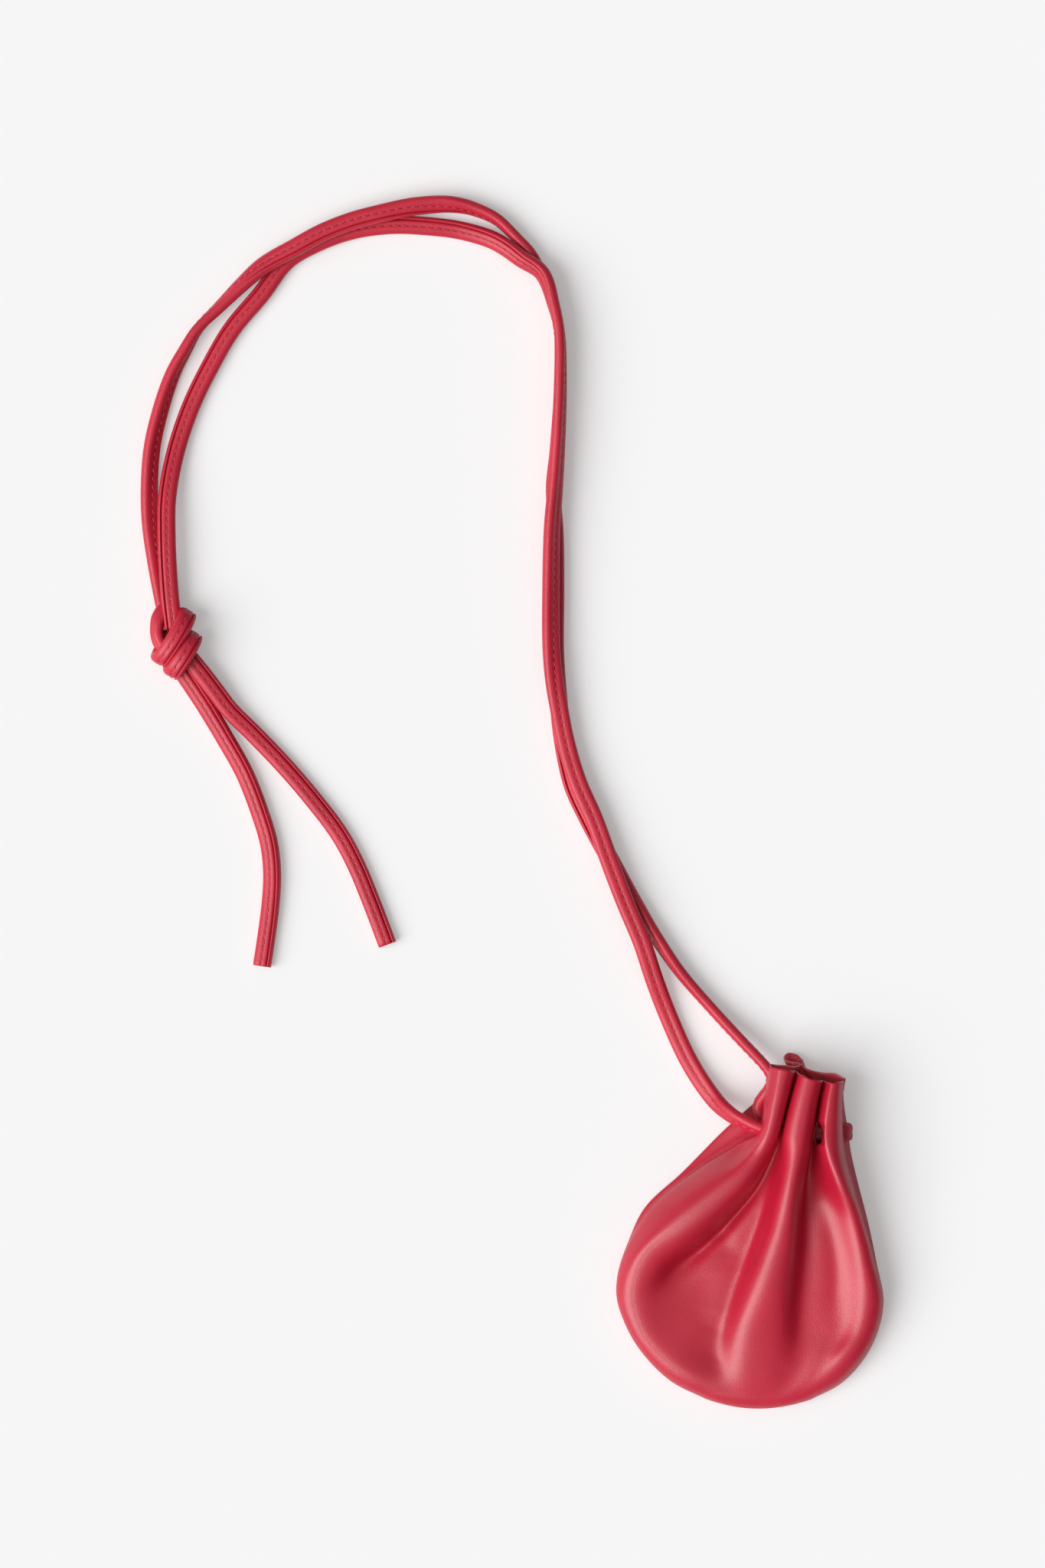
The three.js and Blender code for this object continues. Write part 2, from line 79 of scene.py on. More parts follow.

# %% [markdown]
# ## Smooth lines
#
# Both the cord and the pouch are drawn through a few given points. The same kind of curve as in
# the CAD source, a centripetal Catmull-Rom spline, passes through every one of them without loops.


# %% A spline through points
def spline(points, where, closed=False):
    """Points of any width, read at the places where, each from 0 to 1 along the list."""
    p = np.asarray(points, float)
    n = len(p)
    spans = n if closed else n - 1
    s = np.clip(np.asarray(where, float), 0, 1) * spans
    i = np.minimum(s.astype(int), spans - 1)
    t = (s - i)[:, None]
    if closed:
        a, b, c, d = p[(i - 1) % n], p[i % n], p[(i + 1) % n], p[(i + 2) % n]
    else:
        longer = np.vstack([2 * p[0] - p[1], p, 2 * p[-1] - p[-2]])
        a, b, c, d = longer[i], longer[i + 1], longer[i + 2], longer[i + 3]
    step = [np.linalg.norm(q - r, axis=1, keepdims=True) ** 0.5 for q, r in ((b, a), (c, b), (d, c))]
    mid = np.maximum(step[1], 1e-4)
    first = np.where(step[0] < 1e-4, mid, step[0])
    last = np.where(step[2] < 1e-4, mid, step[2])
    m1 = ((b - a) / first - (c - a) / (first + mid) + (c - b) / mid) * mid
    m2 = ((c - b) / mid - (d - b) / (mid + last) + (d - c) / last) * mid
    return b + m1 * t + (3 * (c - b) - 2 * m1 - m2) * t**2 + (2 * (b - c) + m1 + m2) * t**3


def evenly(points, spacing):
    """The spline through points, read again at even steps of about spacing, and its length."""
    fine = spline(points, np.linspace(0, 1, 60 * len(points)))
    gone = np.concatenate([[0], np.cumsum(np.linalg.norm(np.diff(fine[:, :3], axis=0), axis=1))])
    count = max(int(round(gone[-1] / spacing)), 2)
    stops = np.linspace(0, gone[-1], count + 1)
    columns = [np.interp(stops, gone, fine[:, k]) for k in range(fine.shape[1])]
    return np.stack(columns, axis=1), gone[-1]


bow_length = evenly([(0, 0, 0), (5, 2, 0), (10, 0, 0)], 1)[1]
print("a bow through three points is", round(bow_length, 1), "mm long")

# %% [markdown]
# ## The drawcord's section
#
# The cord is a strip of leather folded in three and stitched down its middle. Seen from the end it is
# a flat rounded bar: one edge is a plain fold, and near the other edge the free border of the strip
# makes a narrow groove. Both faces dip a little under the stitches. The outline is drawn once here
# and swept along every stretch of cord.

# %% Outline of the folded strip
CORD_WIDTH = 8.0
CORD_THICKNESS = 4.6
CORD_SECTION = [
    (4.0, 0.0), (3.92, 0.75), (3.68, 1.4), (3.3, 1.92), (2.9, 2.16), (2.6, 2.14), (2.42, 1.8),
    (2.3, 0.9), (2.16, 0.9), (2.02, 1.7), (1.82, 2.06), (1.45, 2.24), (0.9, 2.28), (0.3, 2.26),
    (-0.1, 2.16), (-0.3, 2.1), (-0.5, 2.16), (-0.9, 2.26), (-1.5, 2.26), (-2.3, 2.1), (-3.0, 1.8),
    (-3.5, 1.4), (-3.85, 1.0), (-4.0, 0.3), (-3.98, -0.5), (-3.75, -1.25), (-3.3, -1.85),
    (-2.6, -2.2), (-1.7, -2.3), (-0.9, -2.22), (-0.4, -2.08), (-0.2, -2.02), (0.0, -2.08),
    (0.5, -2.22), (1.3, -2.3), (2.2, -2.26), (3.0, -2.0), (3.6, -1.4), (3.92, -0.75),
]
# The two points of the section that lie under the stitches, one on each face.
GROOVED_FACE_DIP, PLAIN_FACE_DIP = 15, 31


def half_height(roll):
    """How far the cord's middle lies above what it rests on, when it is rolled over by that angle."""
    r = np.radians(roll)
    return np.hypot(CORD_WIDTH / 2 * np.sin(r), CORD_THICKNESS / 2 * np.cos(r))


print("section:", len(CORD_SECTION), "points, its middle", half_height(0), "mm up when it lies flat")

# %% [markdown]
# ## From a bmesh to a piece
#
# Every piece is built in a bmesh and only then becomes a mesh and an object. The object stays at the
# origin, with its place in its mesh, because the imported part's own nodes are made that way too.


# %% Finish a piece
def linked(name, bm, material):
    """Makes a smooth piece of a finished bmesh, at the origin, riding on the part."""
    mesh = bpy.data.meshes.new(name)
    bm.to_mesh(mesh)
    bm.free()
    for polygon in mesh.polygons:
        polygon.use_smooth = True
    piece = bpy.data.objects.new(name, mesh)
    bpy.context.scene.collection.objects.link(piece)
    mesh.materials.append(material)
    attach(piece, "root")
    return piece


# %% [markdown]
# A stretch of cord is a grid of faces that is rolled up round its line: one way along the grid runs
# round the section, the other way runs along the cord. Its two long edges meet and are merged, and the
# open ends are filled. The grid's own UV map holds the place round the section and the length in
# metres, which the stitch holes follow.


# %% Roll a grid up round a line
def grid_surface(bm, places):
    """Adds a grid with its points at places. Returns its vertices, its UV map and each one's grid spot."""
    rows, columns = places.shape[:2]
    grid = bmesh.ops.create_grid(bm, x_segments=columns - 1, y_segments=rows - 1, size=1, calc_uvs=False)
    made = grid["verts"]
    uv = bm.loops.layers.uv.verify()
    spot = {}
    for v in made:
        c = round((v.co.x + 1) / 2 * (columns - 1))
        r = round((v.co.y + 1) / 2 * (rows - 1))
        spot[v] = (c, r)
        v.co = places[r, c]
    return made, uv, spot


def sweep(bm, line, across, facing, groove_side=1, capped=True):
    """Sweeps the cord's section along a line, given the directions of its width and of its grooved face."""
    outline = np.array(CORD_SECTION)
    outline = np.vstack([outline, outline[:1]])
    sideways = outline[:, 0] * groove_side
    over_width = across[:, None, :] * sideways[None, :, None]
    over_height = facing[:, None, :] * outline[None, :, 1, None]
    places = line[:, None, :] + over_width + over_height
    made, uv, spot = grid_surface(bm, places * MM)
    gone = np.concatenate([[0], np.cumsum(np.linalg.norm(np.diff(line, axis=0), axis=1))]) * MM
    faces = {f for v in made for f in v.link_faces}
    for f in faces:
        for loop in f.loops:
            c, r = spot[loop.vert]
            loop[uv].uv = (c / (len(outline) - 1), gone[r])
    bmesh.ops.remove_doubles(bm, verts=made, dist=1e-7)
    if capped:
        alive = [v for v in made if v.is_valid]
        rims = list(dict.fromkeys(e for v in alive for e in v.link_edges if e.is_boundary))
        bmesh.ops.holes_fill(bm, edges=rims, sides=0)


# %% [markdown]
# ## Stitches
#
# A row of stitches runs down the middle of each face. One stitch is a tiny stretched ball, as thick as
# the thread, half sunk into the leather and a little askew, as a machine leaves it. It is made once
# and copied, and each round of copying doubles the row, which is much quicker than one at a time.

# %% One row of thread on each face
STITCH_PITCH = 3.6
STITCH_LENGTH = 2.5
STITCH_MARGIN = 2.5
STITCH_LEAN = math.radians(7)
THREAD = 0.62
THREAD_RISE = 0.12
STITCH_LINES = ((*CORD_SECTION[GROOVED_FACE_DIP], 1), (*CORD_SECTION[PLAIN_FACE_DIP], -1))


def read_at(values, gone, s):
    """Reads a row of points or directions at the length s."""
    return np.array([np.interp(s, gone, values[:, k]) for k in range(3)])


def stitch_places(line, across, facing, groove_side=1, margin=STITCH_MARGIN):
    """Where every stitch lies on both faces of a cord, as matrices."""
    gone = np.concatenate([[0], np.cumsum(np.linalg.norm(np.diff(line, axis=0), axis=1))])
    places = []
    for sideways, height, face in STITCH_LINES:
        for s in np.arange(margin + STITCH_PITCH / 2, gone[-1] - margin, STITCH_PITCH):
            at, aside, out = (read_at(values, gone, s) for values in (line, across, facing))
            aside, out = aside / np.linalg.norm(aside), out / np.linalg.norm(out)
            ahead = np.cross(out, aside)
            centre = at + aside * sideways * groove_side + out * (height + face * THREAD * THREAD_RISE)
            length_way = (ahead * math.cos(STITCH_LEAN) + aside * math.sin(STITCH_LEAN)) * STITCH_LENGTH / 2
            width_way = (aside * math.cos(STITCH_LEAN) - ahead * math.sin(STITCH_LEAN)) * THREAD / 2
            columns = (length_way, width_way, out * THREAD / 2, centre)
            places.append(Matrix([*([c[r] * MM for c in columns] for r in range(3)), [0, 0, 0, 1]]))
    return places


def add_stitches(bm, places):
    """Copies one rounded stitch, doubling the copies each time, and adds them to bm in their places."""
    threads = bmesh.new()
    bmesh.ops.create_uvsphere(threads, u_segments=6, v_segments=6, radius=1)
    for f in threads.faces:
        f.material_index = 1
    groups = [list(threads.verts)]
    while len(groups) < len(places):
        taken = groups[: len(places) - len(groups)]
        verts = [v for group in taken for v in group]
        edges = list(dict.fromkeys(e for v in verts for e in v.link_edges))
        faces = list(dict.fromkeys(f for v in verts for f in v.link_faces))
        copy = bmesh.ops.duplicate(threads, geom=verts + edges + faces)["vert_map"]
        groups += [[copy[v] for v in group] for group in taken]
    for group, place in zip(groups, places):
        for v in group:
            v.co = place @ v.co
    mesh = bpy.data.meshes.new("stitches")
    threads.to_mesh(mesh)
    threads.free()
    bm.from_mesh(mesh)
    bpy.data.meshes.remove(mesh)
    return len(places)


print("a stitch every", STITCH_PITCH, "mm, of thread", THREAD, "mm thick")

# %% [markdown]
# ## Where the cord lies
#
# Each row of a route is a point of the layout in millimetres, how far the cord is rolled over there in
# degrees, and how far it is lifted off the table. At roll 0 the grooved face looks up, at 90 the cord
# stands on edge, and at 180 it shows its plain face. The routes are those of the CAD solids.


# %% Read a route
def lay_cord(route, spacing=1.4):
    """Reads a route: its line, the directions of the cord's width and grooved face, and its length."""
    raw = np.array([(x, y, lift + half_height(roll), roll) for x, y, roll, lift in route])
    points, length = evenly(raw, spacing)
    line = points[:, :3] + SHIFT
    along = np.gradient(line, axis=0)
    along /= np.linalg.norm(along, axis=1, keepdims=True)
    right = np.cross(along, [0, 0, 1])
    right /= np.linalg.norm(right, axis=1, keepdims=True)
    over = np.cross(right, along)
    roll = np.radians(points[:, 3])[:, None]
    facing = over * np.cos(roll) - right * np.sin(roll)
    across = right * np.cos(roll) + over * np.sin(roll)
    return line, across, facing, length


# %% Routes of the two runs and the tails
FRONT_ROUTE = [
    (9, 44.4, 252, 11.0), (5, 44.9, 250, 10.8), (1, 46.2, 246, 10.2), (-3.4, 48.2, 240, 8.8),
    (-9.4, 51.6, 226, 6.4), (-17, 59, 206, 2.2), (-27, 74.6, 192, 0.2), (-35.7, 93.7, 187, 0.4),
    (-41.7, 109.3, 184, 3.4), (-47.3, 126, 182, 6.2), (-54.3, 142.7, 180, 6.4),
    (-60.7, 159.3, 180, 5.4), (-68, 179.3, 180, 5.0), (-75.3, 196, 180, 5.0),
    (-80.3, 212.7, 180, 5.0), (-83, 226, 178, 5.6), (-85.3, 239.3, 168, 6.6),
    (-86.7, 256, 152, 7.2), (-86.8, 282.7, 142, 7.2), (-86.3, 306, 132, 7.2),
    (-85, 322.7, 125, 7.2), (-83.5, 346, 115, 7.2), (-82.7, 369.3, 105, 7.0), (-83, 389.3, 95, 6.4),
    (-85.7, 402.7, 75, 5.8), (-91, 417, 50, 5.4), (-100, 423.3, 35, 4.8), (-107, 428.5, 28, 3.6),
    (-113.3, 432, 24, 1.8), (-126.7, 436, 15, 0.1), (-140, 437.7, 8, 0.1), (-156.7, 438.3, 2, 0.1),
    (-173.3, 436, 0, 0.1), (-188.3, 430.7, 0, 0.1), (-202, 422.7, 0, 0.1), (-213, 408.3, -4, 0.1),
    (-226, 392.7, -6, 0.1), (-235.7, 376, -6, 0.1), (-243.7, 359.3, -4, 0.3),
    (-250.3, 339.3, 0, 1.5), (-253.8, 319.3, 2, 4.0), (-254, 302.7, 2, 5.2), (-253.3, 286, 0, 5.4),
    (-252.3, 273.6, 0, 5.4), (-251, 262, 0, 4.6),
]
BACK_ROUTE = [
    (7.3, 47.4, 80, 1.6), (5.4, 48.6, 84, 1.8), (3.7, 51, 90, 2.2), (3.2, 54, 90, 2.6),
    (4.2, 57, 90, 3.2), (6.6, 60.4, 90, 4.4), (8.8, 64, 90, 5.6), (8.8, 68, 90, 6.0),
    (6.2, 72.2, 90, 5.6), (2.2, 76.6, 90, 4.6), (-3.3, 82.3, 88, 3.4), (-16.7, 96.7, 86, 0.2),
    (-30, 112, 82, 0.1), (-40, 126.3, 72, 0.1), (-50.3, 142.7, 48, 0.1), (-60.6, 161, 22, 0.1),
    (-70.7, 179.7, 8, 0.1), (-77, 193.3, 5, 0.1), (-80.2, 206, 6, 0.1), (-82.3, 219.3, 12, 0.1),
    (-83.7, 236, 40, 0.1), (-84.3, 252.7, 60, 0.1), (-84, 279.3, 66, 0.1), (-84.3, 302.7, 64, 0.1),
    (-85.7, 322.7, 60, 0.1), (-84.3, 339.3, 66, 0.1), (-83, 362.7, 80, 0.1), (-82.3, 376, 88, 0.1),
    (-83, 391, 92, 0.1), (-86, 406, 92, 0.1), (-90, 415.7, 92, 0.1), (-95.7, 426, 92, 0.1),
    (-101, 431.7, 90, 0.1), (-110, 440.3, 84, 0.1), (-120, 445, 72, 0.4), (-130, 447, 52, 1.8),
    (-140, 446.7, 30, 3.4), (-150, 445.3, 12, 4.6), (-160, 443, 2, 5.2), (-172.7, 439.7, 0, 5.2),
    (-185.7, 434.7, 0, 5.2), (-198.7, 427.7, -6, 4.8), (-210.7, 421, -20, 3.6),
    (-221.3, 412.3, -48, 1.4), (-231.7, 402, -72, 0.2), (-240.7, 392.7, -90, 0.1),
    (-246, 383.7, -104, 0.1), (-251.7, 372.7, -118, 0.1), (-256.3, 359.3, -127, 0.1),
    (-260.3, 342.7, -133, 0.1), (-261.7, 326, -140, 0.1), (-261.3, 309.3, -146, 0.1),
    (-259, 292.7, -152, 0.1), (-256.2, 277.7, -160, 0.1), (-253.5, 265, -165, 0.6),
]
LEFT_TAIL_ROUTE = [
    (-250.5, 248.5, -14, 1.6), (-245.2, 240.6, -14, 0.4), (-237.8, 229.4, -14, 0.1),
    (-228.3, 213.7, -14, 0.1), (-220.3, 199.3, -14, 0.1), (-214, 183.3, -14, 0.1),
    (-209.7, 169, -16, 0.1), (-208.3, 155.7, -18, 0.1), (-209, 142, -14, 0.1),
    (-210.7, 128.7, -10, 0.1), (-212.7, 115.3, -8, 0.1),
]
RIGHT_TAIL_ROUTE = [
    (-247.5, 253.5, 4, 5.0), (-239.9, 244.4, 4, 4.4), (-232.7, 235, 4, 3.2), (-226.7, 227, 4, 2.0),
    (-216, 216.3, 4, 0.5), (-203.3, 203, 4, 0.1), (-191, 188.7, 4, 0.1), (-179.3, 173.3, 2, 0.1),
    (-172, 160, 0, 0.1), (-165.3, 144, 0, 0.1), (-158, 124.7, 0, 0.1),
]
for name, route in (
    ("front", FRONT_ROUTE),
    ("back", BACK_ROUTE),
    ("left tail", LEFT_TAIL_ROUTE),
    ("right tail", RIGHT_TAIL_ROUTE),
):
    print(name, "route:", round(lay_cord(route)[3]), "mm")

# %% [markdown]
# ## Red leather
#
# The leather is a deep crimson with a soft satin gloss. Its surface has a fine pebbled grain and a
# faint cloudiness from the dye. A bump of pebbles and of fine creases gives the grain, and noise moves
# the colour and the gloss a little. Object coordinates keep the grain the same size all over a piece.


# %% Leather material
CLOUD_SCALE, CREASE_SCALE = 38, 1500
GLOSS_SPREAD = 0.07
BROAD_GRAIN = 0.4


def leather(name, colour, dark, roughness, grain_size, grain_depth, shine=0.5, sheen=0.0):
    """A material of two close colours, with a grain of the given size and depth in millimetres."""
    material = bpy.data.materials.new(name)
    material.use_nodes = True
    nodes, links = material.node_tree.nodes, material.node_tree.links
    shader = nodes["Principled BSDF"]
    place = nodes.new("ShaderNodeTexCoord")
    cloud = nodes.new("ShaderNodeTexNoise")
    cloud.inputs["Scale"].default_value = CLOUD_SCALE
    cloud.inputs["Detail"].default_value = 4
    pebble = nodes.new("ShaderNodeTexVoronoi")
    pebble.feature = "SMOOTH_F1"
    pebble.inputs["Scale"].default_value = 1 / (grain_size * MM)
    pebble.inputs["Smoothness"].default_value = 0.6
    crease = nodes.new("ShaderNodeTexNoise")
    crease.inputs["Scale"].default_value = CREASE_SCALE
    crease.inputs["Detail"].default_value = 6
    crease.inputs["Roughness"].default_value = 0.6
    for texture in (cloud, pebble, crease):
        links.new(place.outputs["Object"], texture.inputs["Vector"])
    tint = nodes.new("ShaderNodeMix")
    tint.data_type = "RGBA"
    tint.inputs["A"].default_value = (*dark, 1)
    tint.inputs["B"].default_value = (*colour, 1)
    spread = nodes.new("ShaderNodeMapRange")
    spread.inputs["From Min"].default_value = 0.3
    spread.inputs["From Max"].default_value = 0.62
    links.new(cloud.outputs["Fac"], spread.inputs["Value"])
    links.new(spread.outputs["Result"], tint.inputs["Factor"])
    links.new(tint.outputs["Result"], shader.inputs["Base Color"])
    gloss = nodes.new("ShaderNodeMapRange")
    gloss.inputs["To Min"].default_value = roughness - GLOSS_SPREAD
    gloss.inputs["To Max"].default_value = roughness + GLOSS_SPREAD
    links.new(crease.outputs["Fac"], gloss.inputs["Value"])
    links.new(gloss.outputs["Result"], shader.inputs["Roughness"])
    fine = nodes.new("ShaderNodeBump")
    fine.inputs["Strength"].default_value = 0.5
    fine.inputs["Distance"].default_value = grain_depth * MM
    links.new(pebble.outputs["Distance"], fine.inputs["Height"])
    broad = nodes.new("ShaderNodeBump")
    broad.inputs["Strength"].default_value = 0.5
    broad.inputs["Distance"].default_value = grain_depth * MM * BROAD_GRAIN
    links.new(crease.outputs["Fac"], broad.inputs["Height"])
    links.new(fine.outputs["Normal"], broad.inputs["Normal"])
    links.new(broad.outputs["Normal"], shader.inputs["Normal"])
    shader.inputs["Specular IOR Level"].default_value = shine
    shader.inputs["Sheen Weight"].default_value = sheen
    shader.inputs["Sheen Roughness"].default_value = 0.45
    return material


CRIMSON = (0.54, 0.008, 0.036)
CRIMSON_DARK = (0.47, 0.006, 0.028)
pouch_leather = leather("pouch_leather", CRIMSON, CRIMSON_DARK, 0.40, 0.45, 0.12, shine=0.72)
cord_leather = leather("cord_leather", (0.57, 0.017, 0.044), (0.49, 0.012, 0.034), 0.42, 0.8, 0.12)
thread = leather("thread", (0.62, 0.045, 0.075), (0.50, 0.025, 0.05), 0.6, 0.3, 0.05)
painted_end = leather("painted_end", (0.16, 0.075, 0.07), (0.11, 0.045, 0.045), 0.6, 0.5, 0.05)
print("materials:", [m.name for m in bpy.data.materials])

# %% [markdown]
# Between two stitches the thread dives into a small hole. The holes are not modelled: the shade inside
# them is painted shade, small dark soft ovals painted into the leather's colour. The cord's UV map says
# how far along the cord and how far round its section a point is, so the ovals need no picture: they
# are repeated at the stitches' pitch on both faces.


# %% Painted shade of the stitch holes in the cord's leather
HOLE_HALF_LENGTH = 0.62
HOLE_HALF_WIDTH = 1.7
# Dark red of the painted shade inside the stitch holes.
HOLE_SHADE_RED = (0.13, 0.001, 0.005, 1)
WHOLE_PITCHES = 1000


def maths(nodes, links, operation, a, b=None, clamp=False):
    """Adds one Math node fed by sockets or numbers, and returns its result's socket."""
    node = nodes.new("ShaderNodeMath")
    node.operation = operation
    node.use_clamp = clamp
    for socket, value in zip(node.inputs, (a, b)):
        if value is None:
            continue
        if isinstance(value, (int, float)):
            socket.default_value = value
        else:
            links.new(value, socket)
    return node.outputs["Value"]


def paint_stitch_hole_shade(material):
    """Paints the shade of the holes between a cord's stitches. A hole's width is counted in points of the
    section.
    """
    nodes, links = material.node_tree.nodes, material.node_tree.links
    shader = nodes["Principled BSDF"]
    place = nodes.new("ShaderNodeUVMap")
    split = nodes.new("ShaderNodeSeparateXYZ")
    links.new(place.outputs["UV"], split.inputs["Vector"])
    round_the_section, along = split.outputs["X"], split.outputs["Y"]
    # Whole pitches are added so that the length never falls below zero after the margin is taken off.
    shifted = maths(nodes, links, "ADD", along, (STITCH_PITCH * WHOLE_PITCHES - STITCH_MARGIN) * MM)
    within = maths(nodes, links, "MODULO", shifted, STITCH_PITCH * MM)
    from_hole = maths(nodes, links, "PINGPONG", within, STITCH_PITCH * MM / 2)
    along_share = maths(nodes, links, "DIVIDE", from_hole, HOLE_HALF_LENGTH * MM)
    along_square = maths(nodes, links, "POWER", along_share, 2)
    masks = []
    for index in (GROOVED_FACE_DIP, PLAIN_FACE_DIP):
        off = maths(nodes, links, "SUBTRACT", round_the_section, index / len(CORD_SECTION))
        off = maths(nodes, links, "DIVIDE", off, HOLE_HALF_WIDTH / len(CORD_SECTION))
        off_square = maths(nodes, links, "POWER", maths(nodes, links, "ABSOLUTE", off), 2)
        squares = maths(nodes, links, "ADD", off_square, along_square)
        masks.append(maths(nodes, links, "SUBTRACT", 1.0, squares, clamp=True))
    hole_shade = maths(nodes, links, "MAXIMUM", *masks)
    tint = shader.inputs["Base Color"].links[0].from_socket
    # Painted shade: inside each hole's oval the leather's colour is mixed towards dark red.
    hole_shade_mix = nodes.new("ShaderNodeMix")
    hole_shade_mix.data_type = "RGBA"
    hole_shade_mix.inputs["B"].default_value = HOLE_SHADE_RED
    links.new(tint, hole_shade_mix.inputs["A"])
    links.new(hole_shade, hole_shade_mix.inputs["Factor"])
    links.new(hole_shade_mix.outputs["Result"], shader.inputs["Base Color"])


paint_stitch_hole_shade(cord_leather)
print("cord_leather has", len(cord_leather.node_tree.nodes), "nodes with its stitch holes")

# %% [markdown]
# ## Laying the cord
#
# Each stretch is swept on its own, with its stitches, and its two ends are filled. The fills are the
# only faces with more than four corners. They get the dark paint of the cut ends, which shows on the
# two tails only, because the other ends lie hidden in the knot and in the neck.


# %% Runs and tails
def cord_piece(name, route, groove_side):
    """Makes one stretch of the drawcord. Returns its piece, its middle line and its length."""
    line, across, facing, length = lay_cord(route)
    bm = bmesh.new()
    sweep(bm, line, across, facing, groove_side)
    for f in bm.faces:
        if len(f.verts) > 4:
            f.material_index = 2
    count = add_stitches(bm, stitch_places(line, across, facing, groove_side))
    bmesh.ops.recalc_face_normals(bm, faces=bm.faces)
    piece = linked(name, bm, cord_leather)
    piece.data.materials.append(thread)
    piece.data.materials.append(painted_end)
    print(name, len(piece.data.polygons), "faces,", count, "stitches,", round(length), "mm")
    return piece, line, length


front_run, front_line, front_length = cord_piece("front_run", FRONT_ROUTE, 1)
back_run, back_line, back_length = cord_piece("back_run", BACK_ROUTE, -1)
left_tail, left_line, left_length = cord_piece("left_tail", LEFT_TAIL_ROUTE, -1)
right_tail, right_line, right_length = cord_piece("right_tail", RIGHT_TAIL_ROUTE, -1)

# %% [markdown]
# ## The knot
#
# An overhand knot tied in both strands at once: two wide turns lie side by side over the front, and
# the strands bulge out at the left where they loop back under. Each turn is the same section swept
# round a flat oval, always facing outwards.

# %% Turns of the knot
KNOT_ALONG = np.array([-0.52, -0.854, 0.0])
KNOT_AXIS = np.array([0.854, -0.52, 0.0])
TURN_POINTS = 72
# Where each turn's middle lies in plan, then its half length, half height, middle's height and lean.
KNOT_TURNS = [
    ((-251.0, 258.6), 11.4, 6.0, 8.4, 1.6),
    ((-247.0, 251.0), 9.0, 5.6, 8.0, 1.2),
]


def turn(bm, centre, reach, height, middle_z, lean):
    """Adds one turn of cord round the knot, an oval that leans along the knot's axis, with its stitches."""
    angle = np.linspace(0, 2 * math.pi, TURN_POINTS)
    c, s = np.cos(angle)[:, None], np.sin(angle)[:, None]
    middle = np.array([centre[0], centre[1], middle_z]) + SHIFT
    line = middle + KNOT_ALONG * reach * c + np.array([0, 0, 1.0]) * height * s + KNOT_AXIS * lean * s
    along = np.gradient(line, axis=0)
    along[0] = along[-1] = (line[1] - line[-2]) / 2
    along /= np.linalg.norm(along, axis=1, keepdims=True)
    across = np.repeat(KNOT_AXIS[None, :], len(line), axis=0)
    across = across - along * np.sum(across * along, axis=1, keepdims=True)
    across /= np.linalg.norm(across, axis=1, keepdims=True)
    facing = np.cross(along, across)
    outward = line - middle
    facing *= np.sign(np.sum(facing * outward, axis=1, keepdims=True))
    sweep(bm, line, across, facing, capped=False)
    add_stitches(bm, stitch_places(line, across, facing, margin=0))


knot_bm = bmesh.new()
for centre, reach, height, middle_z, lean in KNOT_TURNS:
    turn(knot_bm, centre, reach, height, middle_z, lean)
bmesh.ops.remove_doubles(knot_bm, verts=knot_bm.verts, dist=1e-6)
print("knot's two turns:", len(knot_bm.faces), "faces")

# %% Strands at the knot's left
SMALL_STEP = 0.8
KNOT_BULGES = [
    [
        (-254, 271, 40, 0.2), (-257.2, 268.6, 70, 0.2), (-258.9, 264.6, 90, 0.3),
        (-259, 260, 92, 0.4), (-257.6, 255.4, 92, 0.4), (-253.5, 251.5, 92, 0.6),
    ],
    [
        (-253, 269, 40, 1.0), (-256, 267, 70, 1.4), (-257.7, 263.6, 88, 1.8),
        (-257.7, 259.6, 88, 2.0), (-256, 255.6, 88, 2.0), (-252.5, 252.5, 88, 2.0),
    ],
]
for bulge in KNOT_BULGES:
    line, across, facing, _ = lay_cord(bulge, SMALL_STEP)
    sweep(knot_bm, line, across, facing)
bmesh.ops.recalc_face_normals(knot_bm, faces=knot_bm.faces)
knot = linked("knot", knot_bm, cord_leather)
knot.data.materials.append(thread)
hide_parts("strap_knot")
print("knot:", len(knot.data.polygons), "faces")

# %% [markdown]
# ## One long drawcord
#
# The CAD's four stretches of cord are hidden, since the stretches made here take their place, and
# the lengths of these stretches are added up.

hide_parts("strap_front_run")
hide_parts("strap_back_run")
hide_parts("strap_tail_left")
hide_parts("strap_tail_right")
seen_length = front_length + back_length + left_length + right_length
print("drawcord outside the knot and the neck:", round(seen_length), "mm")

# %% [markdown]
# ## The pouch's folds
#
# The pouch is one piece of leather, gathered into a narrow neck and resting on its back. Its shape is
# drawn as stations, rings that run round the leather from the rim down to the bottom lip. Each one
# names the crests and valleys that the folds pass through there, in millimetres. The neck's stations
# are three round tubes side by side, and further down they open into soft waves.

# %% Stations from the rim to the lip
CINCH_Y = 43.3
